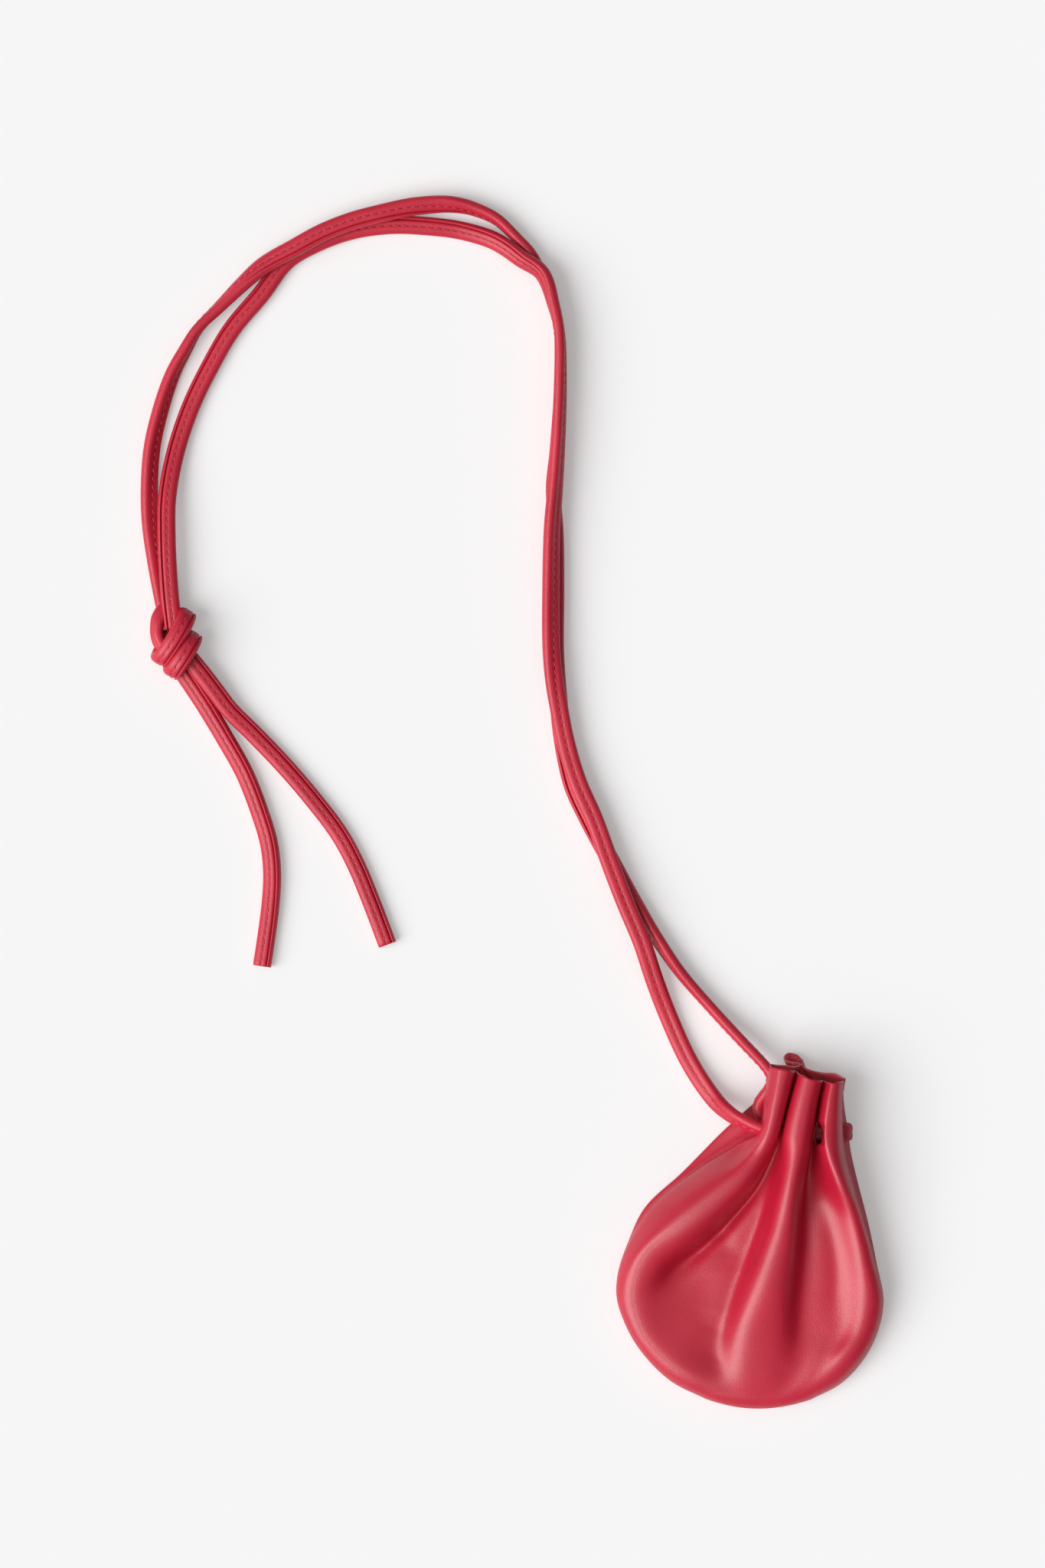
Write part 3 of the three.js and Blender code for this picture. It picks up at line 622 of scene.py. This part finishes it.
# left and right are the side folds, left_out and right_out the outline in plan. full says how steep the
# walls of the folds are, and edge how high the side folds stand.
STATIONS = [
    dict(
        left=(8, 72.6), left_out=(9.4, 72.8), flank1=(8.6, 72.2, 21), crest1=(13.8, 71.7, 26),
        valley1=(19.3, 70.4, 17), basin=(19.5, 70.1, 15.6), foot2=(19.7, 69.6, 17),
        crest2=(25.3, 67.4, 26.6), valley2=(31, 66, 15.6), face3=(31.5, 65.9, 18),
        crest3=(35, 65.6, 25.4), right=(40.4, 66), right_out=(40.6, 66.8), full=1.0, edge=16,
    ),
    dict(
        left=(5.8, 58), left_out=(6.6, 61), flank1=(6.6, 58, 20.5), crest1=(10.6, 58, 26),
        valley1=(16, 57.7, 17), basin=(16.2, 57.7, 15), foot2=(16.4, 57.7, 17),
        crest2=(22.8, 57.3, 27), valley2=(29, 57.3, 14.5), face3=(29.6, 57.3, 17.5),
        crest3=(33.4, 57.3, 26), right=(39.4, 57), right_out=(41, 55.4), full=1.0, edge=15,
        right_edge=18,
    ),
    dict(
        left=(3.2, 44), left_out=(-3.4, 51.2), flank1=(3.6, 43.5, 19.5), crest1=(7.0, 43.3, 25),
        valley1=(12.4, 43.3, 16.5), basin=(12.8, 43.3, 14.2), foot2=(13.2, 43.3, 16.5),
        crest2=(20, 43.3, 27), valley2=(27, 43.3, 13), face3=(28, 43.3, 17),
        crest3=(31.9, 43.3, 26), right=(39.6, 43.3), right_out=(42.6, 44), full=1.0, edge=13,
        right_edge=17,
    ),
    dict(
        left=(-4.6, 38.6), left_out=(-13, 42.4), flank1=(-2.6, 37.4, 14), crest1=(3.4, 35, 23.6),
        valley1=(9, 33, 12), basin=(10.4, 33.8, 12.2), foot2=(12.6, 34.8, 14.6),
        crest2=(19, 35.3, 27), valley2=(26.2, 35, 10.8), face3=(28.6, 35, 15),
        crest3=(32.6, 35, 26.4), right=(40.6, 34.5), right_out=(44, 34), full=0.9, edge=10,
        right_edge=16,
    ),
    dict(
        left=(-21.5, 28), left_out=(-30.2, 25), crest1=(-5.8, 22.2, 24), valley1=(1.2, 17.6, 9.2),
        basin=(5.2, 19.6, 11), foot2=(9.6, 21.4, 12.4), crest2=(17, 22, 27.4),
        valley2=(24, 22.2, 10.4), face3=(29.6, 22.4, 12.4), crest3=(36.8, 22.7, 26), right=(44, 21),
        right_out=(47, 21), full=0.75, edge=8.5, right_edge=15.5,
    ),
    dict(
        left=(-43, 10), left_out=(-46.9, 9), crest1=(-27, 4.4, 21.4), valley1=(-18.6, -4.2, 7.6),
        basin=(-7.5, 0.6, 9.6), foot2=(4, 4.6, 11.6), crest2=(14, 6, 26.4), valley2=(23, 6, 14.4),
        face3=(32.4, 6, 15), crest3=(43.2, 6.7, 21.6), right=(48.4, 6), right_out=(51, 6), full=0.6,
        edge=7.5, right_edge=15,
    ),
    dict(
        left=(-55.8, -11.4), left_out=(-56.1, -11.4), crest1=(-45.2, -9.6, 16),
        valley1=(-33.4, -17, 7.4), basin=(-20, -14.6, 8.8), foot2=(-2.8, -12.3, 10.4),
        crest2=(9.8, -10.7, 24.6), valley2=(22.8, -10.7, 13.8), face3=(34.4, -10.7, 14.2),
        crest3=(47.2, -10.7, 19.4), right=(53.4, -11.2), right_out=(55.2, -12), full=0.45, edge=7,
        right_edge=13.5,
    ),
    dict(
        left=(-58.7, -27.3), left_out=(-58.8, -27.3), crest1=(-50.4, -27.3, 12.6),
        valley1=(-40.4, -27.6, 10.4), basin=(-27.7, -29, 9.3), foot2=(-9, -28, 9.6),
        crest2=(5, -27.3, 22), valley2=(22, -27.3, 12.6), face3=(35.2, -27.3, 13),
        crest3=(48.2, -28, 17.8), right=(57.8, -29), right_out=(58.2, -29), full=0.35, edge=6.6,
        right_edge=12,
    ),
    dict(
        left=(-54, -42.5), left_out=(-54.1, -42.5), crest1=(-46.6, -43, 11.6),
        valley1=(-37, -41.5, 10.7), basin=(-25, -41.5, 9.8), foot2=(-13, -41.7, 9.6),
        crest2=(0, -42.6, 18.2), valley2=(22, -43, 11.6), face3=(33.6, -43, 12),
        crest3=(45.4, -42.4, 16.4), right=(55.5, -43.5), right_out=(55.6, -43.5), full=0.3,
        edge=6.2, right_edge=10,
    ),
    dict(
        left=(-46.3, -54.6), left_out=(-46.4, -54.6), crest1=(-39.2, -51.8, 11.4),
        valley1=(-30.9, -51.2, 11), basin=(-21.5, -52.2, 10.4), foot2=(-14, -54, 9.8),
        crest2=(-2.4, -55.4, 15), valley2=(21, -57, 11.4), face3=(27.6, -56, 12.6),
        crest3=(38.2, -52.8, 15.8), right=(49.2, -56.2), right_out=(49.3, -56.2), full=0.1, edge=6,
        right_edge=8,
    ),
    dict(
        left=(-34.6, -65.8), left_out=(-34.7, -65.8), crest1=(-28, -61, 11.6),
        valley1=(-22, -61.8, 11.4), basin=(-16.3, -63.2, 11.1), foot2=(-11, -64.6, 11.2),
        crest2=(-3, -65.6, 12.6), valley2=(16.7, -66.2, 10.8), face3=(22.4, -65, 11.8),
        crest3=(31, -62.2, 13), right=(39.8, -66.5), right_out=(39.9, -66.5), full=0.1, edge=5.6,
    ),
    dict(
        left=(-20, -73.2), left_out=(-20.1, -73.2), crest1=(-14.8, -70.4, 9.8),
        valley1=(-11.2, -71.1, 10), basin=(-7.8, -71.7, 10.1), foot2=(-4.6, -72.2, 10.2),
        crest2=(-1, -72.6, 10.3), valley2=(11, -72.8, 10.1), face3=(14.5, -72.4, 10),
        crest3=(18, -71.6, 9.8), right=(27, -73.4), right_out=(27.1, -73.4), full=0.1, edge=5.2,
    ),
]
LIP_POINT = np.array([3.3, -77.3, 5.2])
print(len(STATIONS), "stations, the first at the rim")

# %% [markdown]
# At the rim the back of the neck makes one small loop behind the front tubes, and its edge reaches
# further out than the front's, so that the suede inside can be seen from above. These points run from
# the right side to the left one. Under the rest of the neck the back is gathered in small even waves,
# which fade out, and from there to the lip it lies flat on the table.

# %% Back of the rim
RIM_BACK = [
    (40, 67.4, 15), (37, 69.1, 13), (30.5, 69.6, 12), (25, 71, 11.6), (22.9, 72.4, 8), (23.1, 74.3, 4.6),
    (20.6, 76.5, 2.8), (16.9, 77.6, 3), (14.6, 76.2, 5), (14.9, 74.2, 8), (18, 73.7, 11), (21.2, 73.2, 12),
    (19.4, 72.3, 13.4), (15.6, 72.6, 12.8), (11.4, 72.9, 13),
]
BACK_COUNT = len(RIM_BACK)
NECK_BACK_WAVES = (9, 9, 8, 4, 1.5)
WAVE_POINTS = 3.5
WAVE_FADE = 4
BACK_START, BACK_SPAN = 0.06, 0.88
print("the neck's back waves are up to", max(NECK_BACK_WAVES), "mm high")

# %% [markdown]
# A crest and a valley alone would give a saw's teeth. So each wall of a fold gets two more points on
# its way down: one close to the crest that keeps its top round, and one that sets how steep the wall
# is. They are given as shares of the way, one for the place in plan and one for the height.

# %% Points of one station
ROUND_TOP = (0.45, 0.12)
LEFT_FLANK = (0.62, 0.36)
RIGHT_SHOULDER = (0.42, 0.08)
RIGHT_FLANK = (0.77, 0.36)
WALL_REACH, FULL_REACH, WALL_DROP = 0.5, 0.3, 0.3
CREST2_EXTRA = 0.06
BODY_MIDDLE_X = 3
TUCK, TUCK_STRIP, WIDE_STRIP = 0.9, 3, 4


def between(a, b, share_flat, share_up):
    """A point on the way from a to b: one share for its place in plan, and one for its height."""
    a, b = np.array(a, float), np.array(b, float)
    return [*(a[:2] + (b[:2] - a[:2]) * share_flat), a[2] + (b[2] - a[2]) * share_up]


def side_points(front, outer, edge):
    """The side of a station, from the outline up to the front's fold, over the strip of back leather."""
    strip = math.dist(front, outer)
    lowered = min(strip, WIDE_STRIP)
    inward = TUCK * math.copysign(1, BODY_MIDDLE_X - front[0]) * max(1 - strip / TUCK_STRIP, 0)
    return [
        (outer[0] + inward, outer[1], 0.32 * edge * (1 - 0.1 * lowered)),
        (*between((*outer, 0), (*front, 0), 0.7, 0)[:2], 0.58 * edge - 0.25 * lowered),
        (front[0], front[1], 0.82 * edge),
        (front[0] + inward * 0.3, front[1], 1.05 * edge),
    ]


def back_points(k, s):
    """The underside of a station from right to left, raised in waves under the neck."""
    wave = NECK_BACK_WAVES[k - 1] if k <= len(NECK_BACK_WAVES) else 0
    back = []
    for i in range(BACK_COUNT):
        share = BACK_START + BACK_SPAN * i / (BACK_COUNT - 1)
        place = between((*s["right_out"], 0), (*s["left_out"], 0), share, 0)
        from_left = max((place[0] - s["left"][0] - 1) / WAVE_FADE, 0)
        from_right = max((s["right"][0] - place[0]) / WAVE_FADE, 0)
        height = wave * min(from_left, from_right, 1)
        back.append((place[0], place[1], height * math.sin(math.pi * 2 * i / WAVE_POINTS) ** 2))
    return back


def station_points(k, s):
    """All the points of one station in order: up the left side, over the front, and back underneath."""
    reach, drop = WALL_REACH + FULL_REACH * s["full"], WALL_DROP
    slack = 1 - s["full"]
    # Where the leather is slack, the third fold drops close to its crest and leaves a level strip.
    near_crest3 = (0.27 - 0.12 * slack, 0.05 + 0.55 * slack)
    near_face3 = (0.58 - 0.2 * slack, min(0.3 + 1.2 * slack, 0.95))
    left = side_points(s["left"], s["left_out"], s["edge"])
    right = side_points(s["right"], s["right_out"], s.get("right_edge", s["edge"]))
    flank1 = s.get("flank1") or between(s["crest1"], left[3], *LEFT_FLANK)
    front = [
        flank1,
        between(s["crest1"], flank1, *ROUND_TOP),
        s["crest1"],
        between(s["crest1"], s["valley1"], reach / 2, drop / 6),
        between(s["crest1"], s["valley1"], reach, drop),
        s["valley1"],
        s["basin"],
        s["foot2"],
        between(s["crest2"], s["foot2"], reach, drop),
        between(s["crest2"], s["foot2"], reach / 2, drop / 6),
        s["crest2"],
        between(s["crest2"], s["valley2"], (reach + CREST2_EXTRA) / 2, drop / 6),
        between(s["crest2"], s["valley2"], reach + CREST2_EXTRA, drop),
        s["valley2"],
        s["face3"],
        between(s["crest3"], s["face3"], *near_face3),
        between(s["crest3"], s["face3"], *near_crest3),
        s["crest3"],
        between(s["crest3"], right[3], *RIGHT_SHOULDER),
        between(s["crest3"], right[3], *RIGHT_FLANK),
    ]
    back = RIM_BACK if k == 0 else back_points(k, s)
    return left + front + right[::-1] + back


control = np.array([station_points(k, s) for k, s in enumerate(STATIONS)])
FRONT_START, FRONT_END = 4, 24
print("control net:", control.shape)

# %% [markdown]
# ## The skin
#
# Splines through the stations give a fine grid of points. Leather has no sharp creases where it isn't
# pressed, so the points of every ring are then averaged along it: over about three millimetres on the
# front of the body, a little less at its sides, and hardly at all in the neck.

# %% Average a ring
PER_POINT, ROWS, LIP_ROWS = 7, 140, 9
COLUMNS = control.shape[1] * PER_POINT
down = np.array([spline(control[:, i], np.linspace(0, 1, ROWS)) for i in range(control.shape[1])])


def softened(ring, reach):
    """Averages a closed ring over the given reach, measured along the leather."""
    step = np.linalg.norm(np.roll(ring, -1, axis=0) - ring, axis=1)
    gone = np.concatenate([[0], np.cumsum(step)])
    total = gone[-1]
    apart = np.abs(gone[:-1, None] - gone[None, :-1])
    apart = np.minimum(apart, total - apart)
    weight = np.exp(-0.5 * (apart / reach[:, None]) ** 2) * ((step + np.roll(step, 1)) / 2)[None, :]
    return weight @ ring / weight.sum(axis=1, keepdims=True)


print("splines down the pouch:", down.shape)

# %% Rings of the skin
# How far the averaging reaches, in millimetres, and at which stations the body opens and rolls over.
NECK_REACH, BODY_REACH, FRONT_REACH, SIDE_REACH = 0.3, 0.4, 2.5, 1.5
OPENS_AT, OPENS_OVER = 2, 3
ROLLS_AT, ROLLS_OVER = 5.2, 1.5
FRONT_FADE = 1.5

column_point = np.arange(COLUMNS) / PER_POINT
from_left = np.clip((column_point - FRONT_START) / FRONT_FADE, 0, 1)
front_share = from_left * np.clip((FRONT_END - column_point) / FRONT_FADE, 0, 1)
rings = []
for r in range(ROWS):
    ring = spline(down[:, r], np.linspace(0, 1, COLUMNS + 1), closed=True)[:-1]
    station = r / (ROWS - 1) * (len(STATIONS) - 1)
    opened = min(max((station - OPENS_AT) / OPENS_OVER, 0), 1)
    rolled = min(max((station - ROLLS_AT) / ROLLS_OVER, 0), 1)
    body = (BODY_REACH + FRONT_REACH * front_share) * opened
    ring = softened(ring, NECK_REACH + body + SIDE_REACH * (1 - front_share) * rolled)
    rings.append(np.vstack([ring, ring[:1]]))
for k in range(1, LIP_ROWS + 1):
    left_over = 1 - k / LIP_ROWS
    rings.append(LIP_POINT + (rings[ROWS - 1] - LIP_POINT) * np.array([left_over, left_over**2, left_over]))
skin = np.array(rings)
print("skin:", skin.shape)

# %% [markdown]
# Smaller folds are pressed into that skin one by one. Each is a line in plan with a half width and a
# depth, and it fades out towards both ends. A negative depth raises the leather instead. Last, the
# third flute's left wall gives way to the right, beside the slot that the cord goes through.

# %% Creases
CREASES = [
    ([(12.6, 42), (10.4, 32), (3, 18.6), (-8, 6.6), (-19, -3.6), (-30, -12.5), (-40, -20)], 3.4, 2.2),
    (
        [(26.8, 41), (24.8, 28), (23.4, 12), (23, -4), (21.2, -18), (20.2, -34), (20, -46), (18.8, -58)],
        3.0,
        1.0,
    ),
    ([(10.6, 24), (7, 10), (0.6, -8), (-5.8, -24), (-11, -40), (-16.2, -57)], 2.8, 1.7),
    ([(31, 14), (33.8, 4), (36, -8), (36.8, -20), (36.2, -30), (35, -42)], 3.0, 1.0),
    ([(-24, -45), (-19, -54), (-9, -60)], 4.5, 0.45),
    ([(-12, -10), (-11.5, -20), (-12.5, -32), (-16, -42)], 6, -1.0),
    ([(-14, 1), (-11.4, -4), (-10.4, -11)], 2.4, 0.6),
]
CREASE_FADE = 4


def distance_to(points, line):
    """Distance in plan from each point to a line, and the share of the way along it where it is nearest."""
    line = spline(np.array([(*p, 0.0) for p in line]), np.linspace(0, 1, 40))[:, :2]
    best = np.full(len(points), np.inf)
    share = np.zeros(len(points))
    for k, (a, b) in enumerate(zip(line[:-1], line[1:])):
        t = np.clip(((points - a) @ (b - a)) / max((b - a) @ (b - a), 1e-9), 0, 1)
        d = np.linalg.norm(points - (a + t[:, None] * (b - a)), axis=1)
        nearer = d < best
        best[nearer] = d[nearer]
        share[nearer] = (k + t[nearer]) / (len(line) - 1)
    return best, share


flat = skin.reshape(-1, 3)
on_front = np.tile(np.append(front_share, front_share[0]), len(skin))
for line, half_width, depth in CREASES:
    away, share = distance_to(flat[:, :2], line)
    fade = np.clip(np.minimum(share, 1 - share) * CREASE_FADE, 0, 1)
    flat[:, 2] -= depth * fade * on_front * np.exp(-0.5 * (away / half_width) ** 2)
print(len(CREASES), "creases pressed in")

# %% Wall beside the slot
SLOT_COLUMN, SLOT_HALF_LENGTH, SLOT_PUSH = 17.9, 5.0, 2.0
WALL_COLUMN_OFF, WALL_COLUMNS = 0.8, 0.7
slot_place = np.sqrt(np.clip(1 - ((skin[:, :, 1] - CINCH_Y) / SLOT_HALF_LENGTH) ** 2, 0, 1))
wall_off = (np.append(column_point, column_point[0]) - SLOT_COLUMN - WALL_COLUMN_OFF) / WALL_COLUMNS
wall_place = np.exp(-0.5 * wall_off**2)
skin[:, :, 0] += SLOT_PUSH * slot_place * wall_place[None, :]
skin[:, :, 2] = np.maximum(skin[:, :, 2], 0)
skin = (skin + SHIFT) * MM
print("thickest at", round(skin[:, :, 2].max() / MM, 1), "mm")

# %% [markdown]
# The grid of the skin is rolled up like the cord's and its two long edges are merged. A slot is left
# open in the third flute's left wall, where the cord passes through. The solidify operator then gives
# the leather its thickness inwards. What it adds is the suede side, whose colour is painted lighter
# than suede is: painted light standing in for the light that reaches into the mouth. The faces that
# join it to the outside round the mouth get the pale colour of the cut edge; round the slot they keep
# the suede's darker red instead, a painted shade.

# %% Pouch
WALL = 0.8
SLOT_COLUMNS = 0.65
MOUTH_ABOVE_CINCH = 10
# The suede's colour is painted lighter than suede is: painted light inside the mouth, where little light
# reaches.
suede_painted_lighter = leather("suede_painted_lighter", (0.82, 0.09, 0.125), (0.58, 0.05, 0.075), 0.9, 0.4, 0.10)
cut_edge = leather("cut_edge", (0.72, 0.22, 0.25), (0.60, 0.13, 0.16), 0.7, 0.4, 0.05, sheen=0.3)

pouch_bm = bmesh.new()
_, uv, spot = grid_surface(pouch_bm, skin)
slot_faces = []
for f in pouch_bm.faces:
    column = sum(spot[v][0] for v in f.verts) / 4 / PER_POINT
    y = sum(v.co.y for v in f.verts) / 4 / MM - SHIFT[1]
    for loop in f.loops:
        c, r = spot[loop.vert]
        loop[uv].uv = (c / COLUMNS, r / (len(skin) - 1))
    if ((y - CINCH_Y) / SLOT_HALF_LENGTH) ** 2 + ((column - SLOT_COLUMN) / SLOT_COLUMNS) ** 2 < 1:
        slot_faces.append(f)
bmesh.ops.delete(pouch_bm, geom=slot_faces, context="FACES")
bmesh.ops.remove_doubles(pouch_bm, verts=pouch_bm.verts, dist=1e-6)
bmesh.ops.recalc_face_normals(pouch_bm, faces=pouch_bm.faces)
pouch_bm.normal_update()
top_face = max(pouch_bm.faces, key=lambda f: f.calc_center_median().z)
if top_face.normal.z < 0:
    bmesh.ops.reverse_faces(pouch_bm, faces=pouch_bm.faces)
outside = set(pouch_bm.faces)
bmesh.ops.solidify(pouch_bm, geom=list(pouch_bm.faces), thickness=WALL * MM)
for f in pouch_bm.faces:
    if f not in outside:
        at_edge = any(g in outside for e in f.edges for g in e.link_faces)
        # Round the slot the cut edge keeps the suede's darker red, not the pale one: a painted shade there.
        at_mouth = f.calc_center_median().y / MM - SHIFT[1] > CINCH_Y + MOUTH_ABOVE_CINCH
        f.material_index = 2 if at_edge and at_mouth else 1
pouch = linked("pouch", pouch_bm, pouch_leather)
pouch.data.materials.append(suede_painted_lighter)
pouch.data.materials.append(cut_edge)
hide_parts("pouch_body")
print("pouch:", len(pouch.data.polygons), "faces,", len(slot_faces), "left out for the slot")

# %% [markdown]
# ## The woven stretch
#
# Between the two runs the cord goes through the neck behind the flutes, comes out at its right side,
# turns down round it and goes back underneath. Only the turn shows, and a little in the slot.

# %% Lacing
FRONT_PASS_Z, BACK_PASS_Z = 8.8, 3.2
NECK_LEFT_X, NECK_RIGHT_X = 3.7, 39.3
TURN_X = NECK_RIGHT_X + 3.0
MIDDLE_Z = (FRONT_PASS_Z + BACK_PASS_Z) / 2
# The stretch keeps to one line across the neck, so each point is only its x and its height.
LACING = [
    (NECK_LEFT_X + 4, 13.6),
    (15, 11),
    (26, FRONT_PASS_Z),
    (NECK_RIGHT_X - 2, FRONT_PASS_Z),
    (NECK_RIGHT_X + 1.2, FRONT_PASS_Z - 0.4),
    (TURN_X, MIDDLE_Z),
    (NECK_RIGHT_X + 1.2, BACK_PASS_Z + 0.4),
    (NECK_RIGHT_X - 2, BACK_PASS_Z),
    (15, BACK_PASS_Z),
    (NECK_LEFT_X, BACK_PASS_Z),
]
line, lacing_length = evenly([(x, CINCH_Y, z) for x, z in LACING], SMALL_STEP)
line = line + SHIFT
along = np.gradient(line, axis=0)
along /= np.linalg.norm(along, axis=1, keepdims=True)
across = np.repeat(np.array([[0, 1.0, 0]]), len(line), axis=0)
facing = np.cross(along, across)
lacing_bm = bmesh.new()
sweep(lacing_bm, line, across, -facing)
bmesh.ops.recalc_face_normals(lacing_bm, faces=lacing_bm.faces)
lacing = linked("lacing", lacing_bm, cord_leather)
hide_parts("strap_lacing")
print("lacing:", round(lacing_length), "mm")

# %% [markdown]
# ## Table
#
# The pouch lies on a plain white table. Its shadows in the photograph are pale, as in a cleaned-up
# product picture, and more light would wash out the leather too. So the table alone glows a little,
# and only for rays that come straight from the camera: nothing else is lit by it.

# %% Table
TABLE_HALF = 6
TABLE_WHITE = (0.93, 0.93, 0.93, 1)
SHADOW_LIFT = 0.3

floor_bm = bmesh.new()
bmesh.ops.create_grid(floor_bm, x_segments=1, y_segments=1, size=TABLE_HALF)
floor_mesh = bpy.data.meshes.new("table")
floor_bm.to_mesh(floor_mesh)
floor_bm.free()
table_top = bpy.data.objects.new("table", floor_mesh)
bpy.context.scene.collection.objects.link(table_top)
white = bpy.data.materials.new("white_table")
white.use_nodes = True
nodes, links = white.node_tree.nodes, white.node_tree.links
paint = nodes["Principled BSDF"]
paint.inputs["Base Color"].default_value = TABLE_WHITE
paint.inputs["Roughness"].default_value = 0.9
paint.inputs["Specular IOR Level"].default_value = 0.1
glow = nodes.new("ShaderNodeEmission")
glow.inputs["Color"].default_value = TABLE_WHITE
seen = nodes.new("ShaderNodeLightPath")
lifted = nodes.new("ShaderNodeMixShader")
links.new(maths(nodes, links, "MULTIPLY", seen.outputs["Is Camera Ray"], SHADOW_LIFT), lifted.inputs["Fac"])
links.new(paint.outputs["BSDF"], lifted.inputs[1])
links.new(glow.outputs["Emission"], lifted.inputs[2])
links.new(lifted.outputs["Shader"], nodes["Material Output"].inputs["Surface"])
table_top.data.materials.append(white)
print("table:", 2 * TABLE_HALF, "m wide")

# %% [markdown]
# ## Light
#
# One wide, soft sun from the lower left, about halfway up the sky, gives the folds their bright sides
# and makes the shadows fall to the upper right. The sky is brighter on the same side, which softens
# the shadows and fills the valleys only a little. Together they are about one on a level surface, so
# every colour renders about as it is written.

# %% Lights
SKY_OVERHEAD, SKY_LOW = 0.67, 0.05
SKY_FROM = (-0.42, -0.19, 0.88)
SKY_FADES_AT = 0.2
SUN = 2.85
SUN_FROM = Vector((-0.97, -0.43, 1.0))
SUN_WIDTH = 50

world = bpy.data.worlds.new("sky")
bpy.context.scene.world = world
world.use_nodes = True
nodes, links = world.node_tree.nodes, world.node_tree.links
background = nodes["Background"]
background.inputs["Color"].default_value = (1, 1, 1, 1)
direction = nodes.new("ShaderNodeTexCoord")
toward = nodes.new("ShaderNodeVectorMath")
toward.operation = "DOT_PRODUCT"
toward.inputs[1].default_value = SKY_FROM
fade = nodes.new("ShaderNodeMapRange")
fade.inputs["From Min"].default_value = SKY_FADES_AT
fade.inputs["To Min"].default_value = SKY_LOW
fade.inputs["To Max"].default_value = SKY_OVERHEAD
links.new(direction.outputs["Generated"], toward.inputs[0])
links.new(toward.outputs["Value"], fade.inputs["Value"])
links.new(fade.outputs["Result"], background.inputs["Strength"])

sun_data = bpy.data.lights.new("soft_sun", "SUN")
sun_data.energy = SUN
sun_data.angle = math.radians(SUN_WIDTH)
sun = bpy.data.objects.new("soft_sun", sun_data)
bpy.context.scene.collection.objects.link(sun)
sun.rotation_mode = "QUATERNION"
sun.rotation_quaternion = SUN_FROM.to_track_quat("Z", "Y")
bpy.context.scene.view_settings.view_transform = "Standard"
print("sun", round(math.degrees(SUN_FROM.angle(Vector((0, 0, 1))))), "degrees away from straight overhead")
